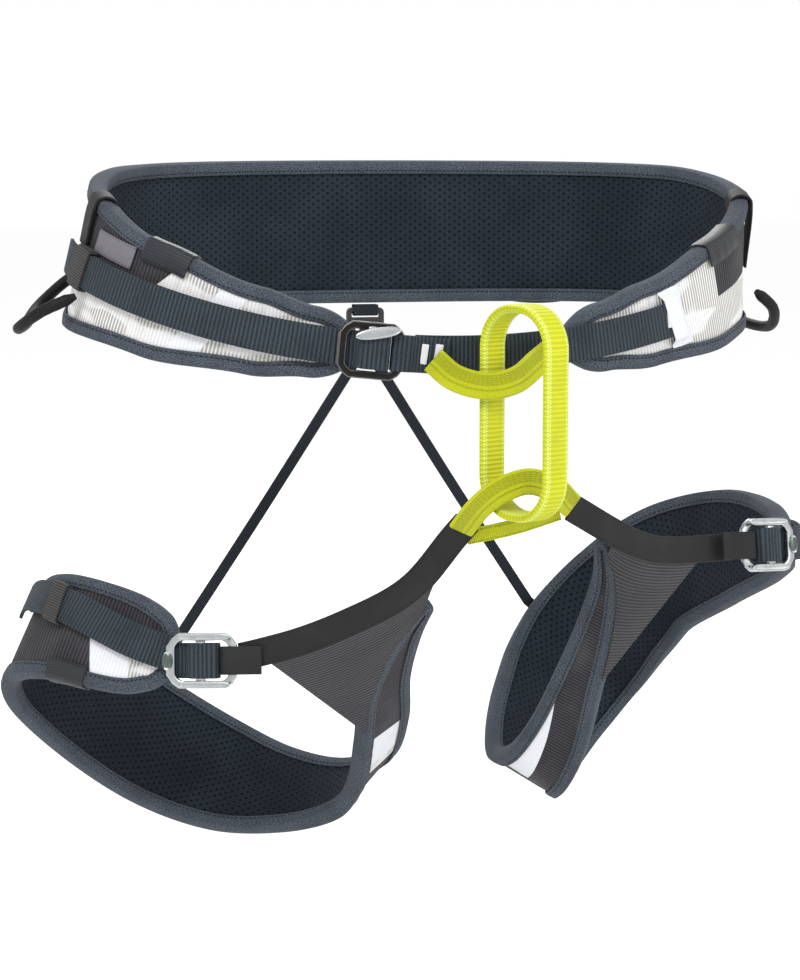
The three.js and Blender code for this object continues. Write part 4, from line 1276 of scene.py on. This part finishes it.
# ---------- gear loops ----------
def gear_loop(name, a0, a1, drop, reach, v):
    out = SKIN + 6
    f = belt.frame(turn((a0 + a1) / 2))[3]
    p, q = belt.at(turn(a0), v, out), belt.at(turn(a1), v, out)
    side = Vector((f.x, f.y, 0)).normalized()

    def low(k, away, down):
        return p.lerp(q, k) + side * away + Vector((0, 0, -down))
    line = spline([p, low(.02, reach * .55, drop * .35), low(.2, reach, drop * .85),
                   low(.5, reach * 1.05, drop),
                   low(.8, reach, drop * .85), low(.98, reach * .55, drop * .35), q], True)
    rings, coords, s = [], [], 0.0
    steps, sides = 70, 20
    pts = along_line(line, steps)
    for i, x in enumerate(pts):
        along = (pts[min(steps, i + 1)] - pts[max(0, i - 1)]).normalized()
        u = (Vector((0, 0, 1)) - along * along.z).normalized()
        w = along.cross(u)
        s += (x - pts[i - 1]).length if i else 0
        rib = 0.06 * sin(s * 2.4)
        r = (3.35 + rib) * min(1, 0.55 + min(i, steps - i) * 0.15)
        rings.append([x + (u * cos(2 * pi * k / sides) + w * sin(2 * pi * k / sides)) * r for k in range(sides)])
        coords.append([(s, k * 1.1) for k in range(sides)])
    o = tube(name + "_gear_tube", rings, coords, loop_plastic)
    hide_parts(name + "_gear_loop")
    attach(o, name + "_loop")


gear_loop("left_front", -104, -60, 26, 36, -15)
gear_loop("right_front", 60, 104, 30, 25, -15)
gear_loop("left_rear", -46, -16, 32, 18, -12)
gear_loop("right_rear", 16, 46, 32, 18, -12)

# ---------- rear clip and risers ----------
clip_top = 6 - BELT_HEIGHT / 2 - SKIN + HALF_PAD - 2.5
clip_place = Matrix(((1, 0, 0, -9), (0, 0, -1, BELT_HALF_DEPTH), (0, 1, 0, clip_top - CLIP_HEIGHT / 2),
                     (0, 0, 0, 1)))
clip = block((CLIP_WIDTH, CLIP_HEIGHT, 4))
pick(clip, "edges", lambda c, e: abs(c.z) < 0.1 and abs(c.x) > 1)
bpy.ops.mesh.bevel(offset=3.2, segments=3)
bpy.ops.object.mode_set(mode="OBJECT")
cut(clip, block((CLIP_WIDTH - 6, 3.6, 9), (0, CLIP_HEIGHT / 2 - 4.5, 0)))
for x in (-5, 5):
    alone()
    bpy.ops.mesh.primitive_cylinder_add(vertices=20, radius=1.7, depth=9, location=(x, 1, 0))
    cut(clip, bpy.context.object)
soften(clip, 0.45, 2, 40)
settle(clip, "rear_clip_body", clip_place, clip_plastic)
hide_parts("rear_clip")
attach(clip, "belt")
alone()
bpy.ops.mesh.primitive_cylinder_add(vertices=24, radius=1.5, depth=1.0, location=(0, 2.4, 2.1))
dot = bpy.context.object
pick(dot, "faces", lambda c, f: f.normal.z > 0.9)
bpy.ops.mesh.inset(thickness=0.5)
bpy.ops.transform.translate(value=(0, 0, 0.35))
bpy.ops.object.mode_set(mode="OBJECT")
soften(dot, 0.2, 2)
settle(dot, "rear_clip_dot", clip_place, dot_plastic)
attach(dot, "belt")
tab = 2 + STRAP_GAP + 0.6
up = CLIP_HEIGHT / 2 - 9.5
path = [(11.4, tab), (8.6, tab), (6, tab), (5.1, 2.2), (4.8, 1.2)]
path += [(4.75, 0)] + [(y, -z) for y, z in reversed(path)]
o = ribbon("rear_clip_strap", [clip_place @ Vector((0, y + up, z)) for y, z in path], Vector((1, 0, 0)),
           CLIP_WIDTH - 8, 1.2, riser_cloth)
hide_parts("rear_clip_tab")
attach(o, "belt")


def riser(name, x0, b, t, node):
    start = Vector((x0, BELT_HALF_DEPTH, clip_top - CLIP_HEIGHT - 3))
    end = b.at(t, b.half(t) + 4.2, 1)
    mid = start.lerp(end, 0.5) + Vector((0, 0, -1.5))
    wide = (end - start).cross(Vector((0, 1, 0))).normalized()
    line = along_line(spline([start, mid, end]), 70)
    h = b.half(t)
    sewn = spline([end, b.at(t, h + 1.5, 6.4), b.at(t, h - 5, 6.9), b.at(t, h - 12, 6.9)], True)
    line += along_line(sewn, 16)[1:]
    o = ribbon(name, line, wide, 7, 1.6, riser_cloth, notch=0.2)
    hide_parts(node)
    end * MM
    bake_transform(o)


riser("left_riser_strap", -14, left_leg, 9.6 / LEFT_LAST, "left_riser")
riser("right_riser_strap", -4, right_leg, 10 / RIGHT_LAST, "right_riser")

# ---------- floor, light and camera ----------
alone()
bpy.ops.mesh.primitive_plane_add(size=30, location=(0, 0, -0.40))
floor_sheet = bpy.context.object
floor_sheet.name = "floor"
pale = Finish("pale_floor", rough=0.9)
tint = pale.noise(0.004, 2.0)
floor_sheet.data.materials.append(pale.wear(colour=pale.blend(tint, (0.97, 0.97, 0.97), (0.99, 0.99, 0.99))))

world = bpy.data.worlds.new("studio")
world.use_nodes = True
sky = next(n for n in world.node_tree.nodes if n.type == "BACKGROUND")
sky.inputs["Color"].default_value, sky.inputs["Strength"].default_value = (1, 1, 1, 1), 1.0
bpy.context.scene.world = world


def lamp(name, where, aim, size, power):
    data = bpy.data.lights.new(name, "AREA")
    data.energy, data.size, data.shape = power, size, "DISK"
    o = bpy.data.objects.new(name, data)
    o.location = where
    o.rotation_euler = (Vector(aim) - Vector(where)).to_track_quat("-Z", "Y").to_euler()
    bpy.context.scene.collection.objects.link(o)


lamp("key", (-0.9, -1.3, 1.1), (0, 0, -0.15), 0.7, 22)
lamp("fill", (1.3, -1.0, 0.5), (0, 0, -0.15), 0.9, 10)
lamp("back", (0.3, 1.4, 1.0), (0, 0, -0.15), 0.8, 14)

target = Vector((-0.011, 0, -0.145))
turn_to, tip_to = radians(-13), radians(8)
CAMERA_DISTANCE = 1.4
camera = bpy.data.objects.new("camera", bpy.data.cameras.new("camera"))
camera.data.lens, camera.data.sensor_width = 85.7, 36
sight = Vector((sin(turn_to) * cos(tip_to), -cos(turn_to) * cos(tip_to), sin(tip_to)))
camera.location = target + CAMERA_DISTANCE * sight
camera.rotation_euler = (target - camera.location).to_track_quat("-Z", "Y").to_euler()
bpy.context.scene.collection.objects.link(camera)
bpy.context.scene.camera = camera
bpy.context.scene.view_settings.view_transform = "Standard"

bpy.context.view_layer.update()
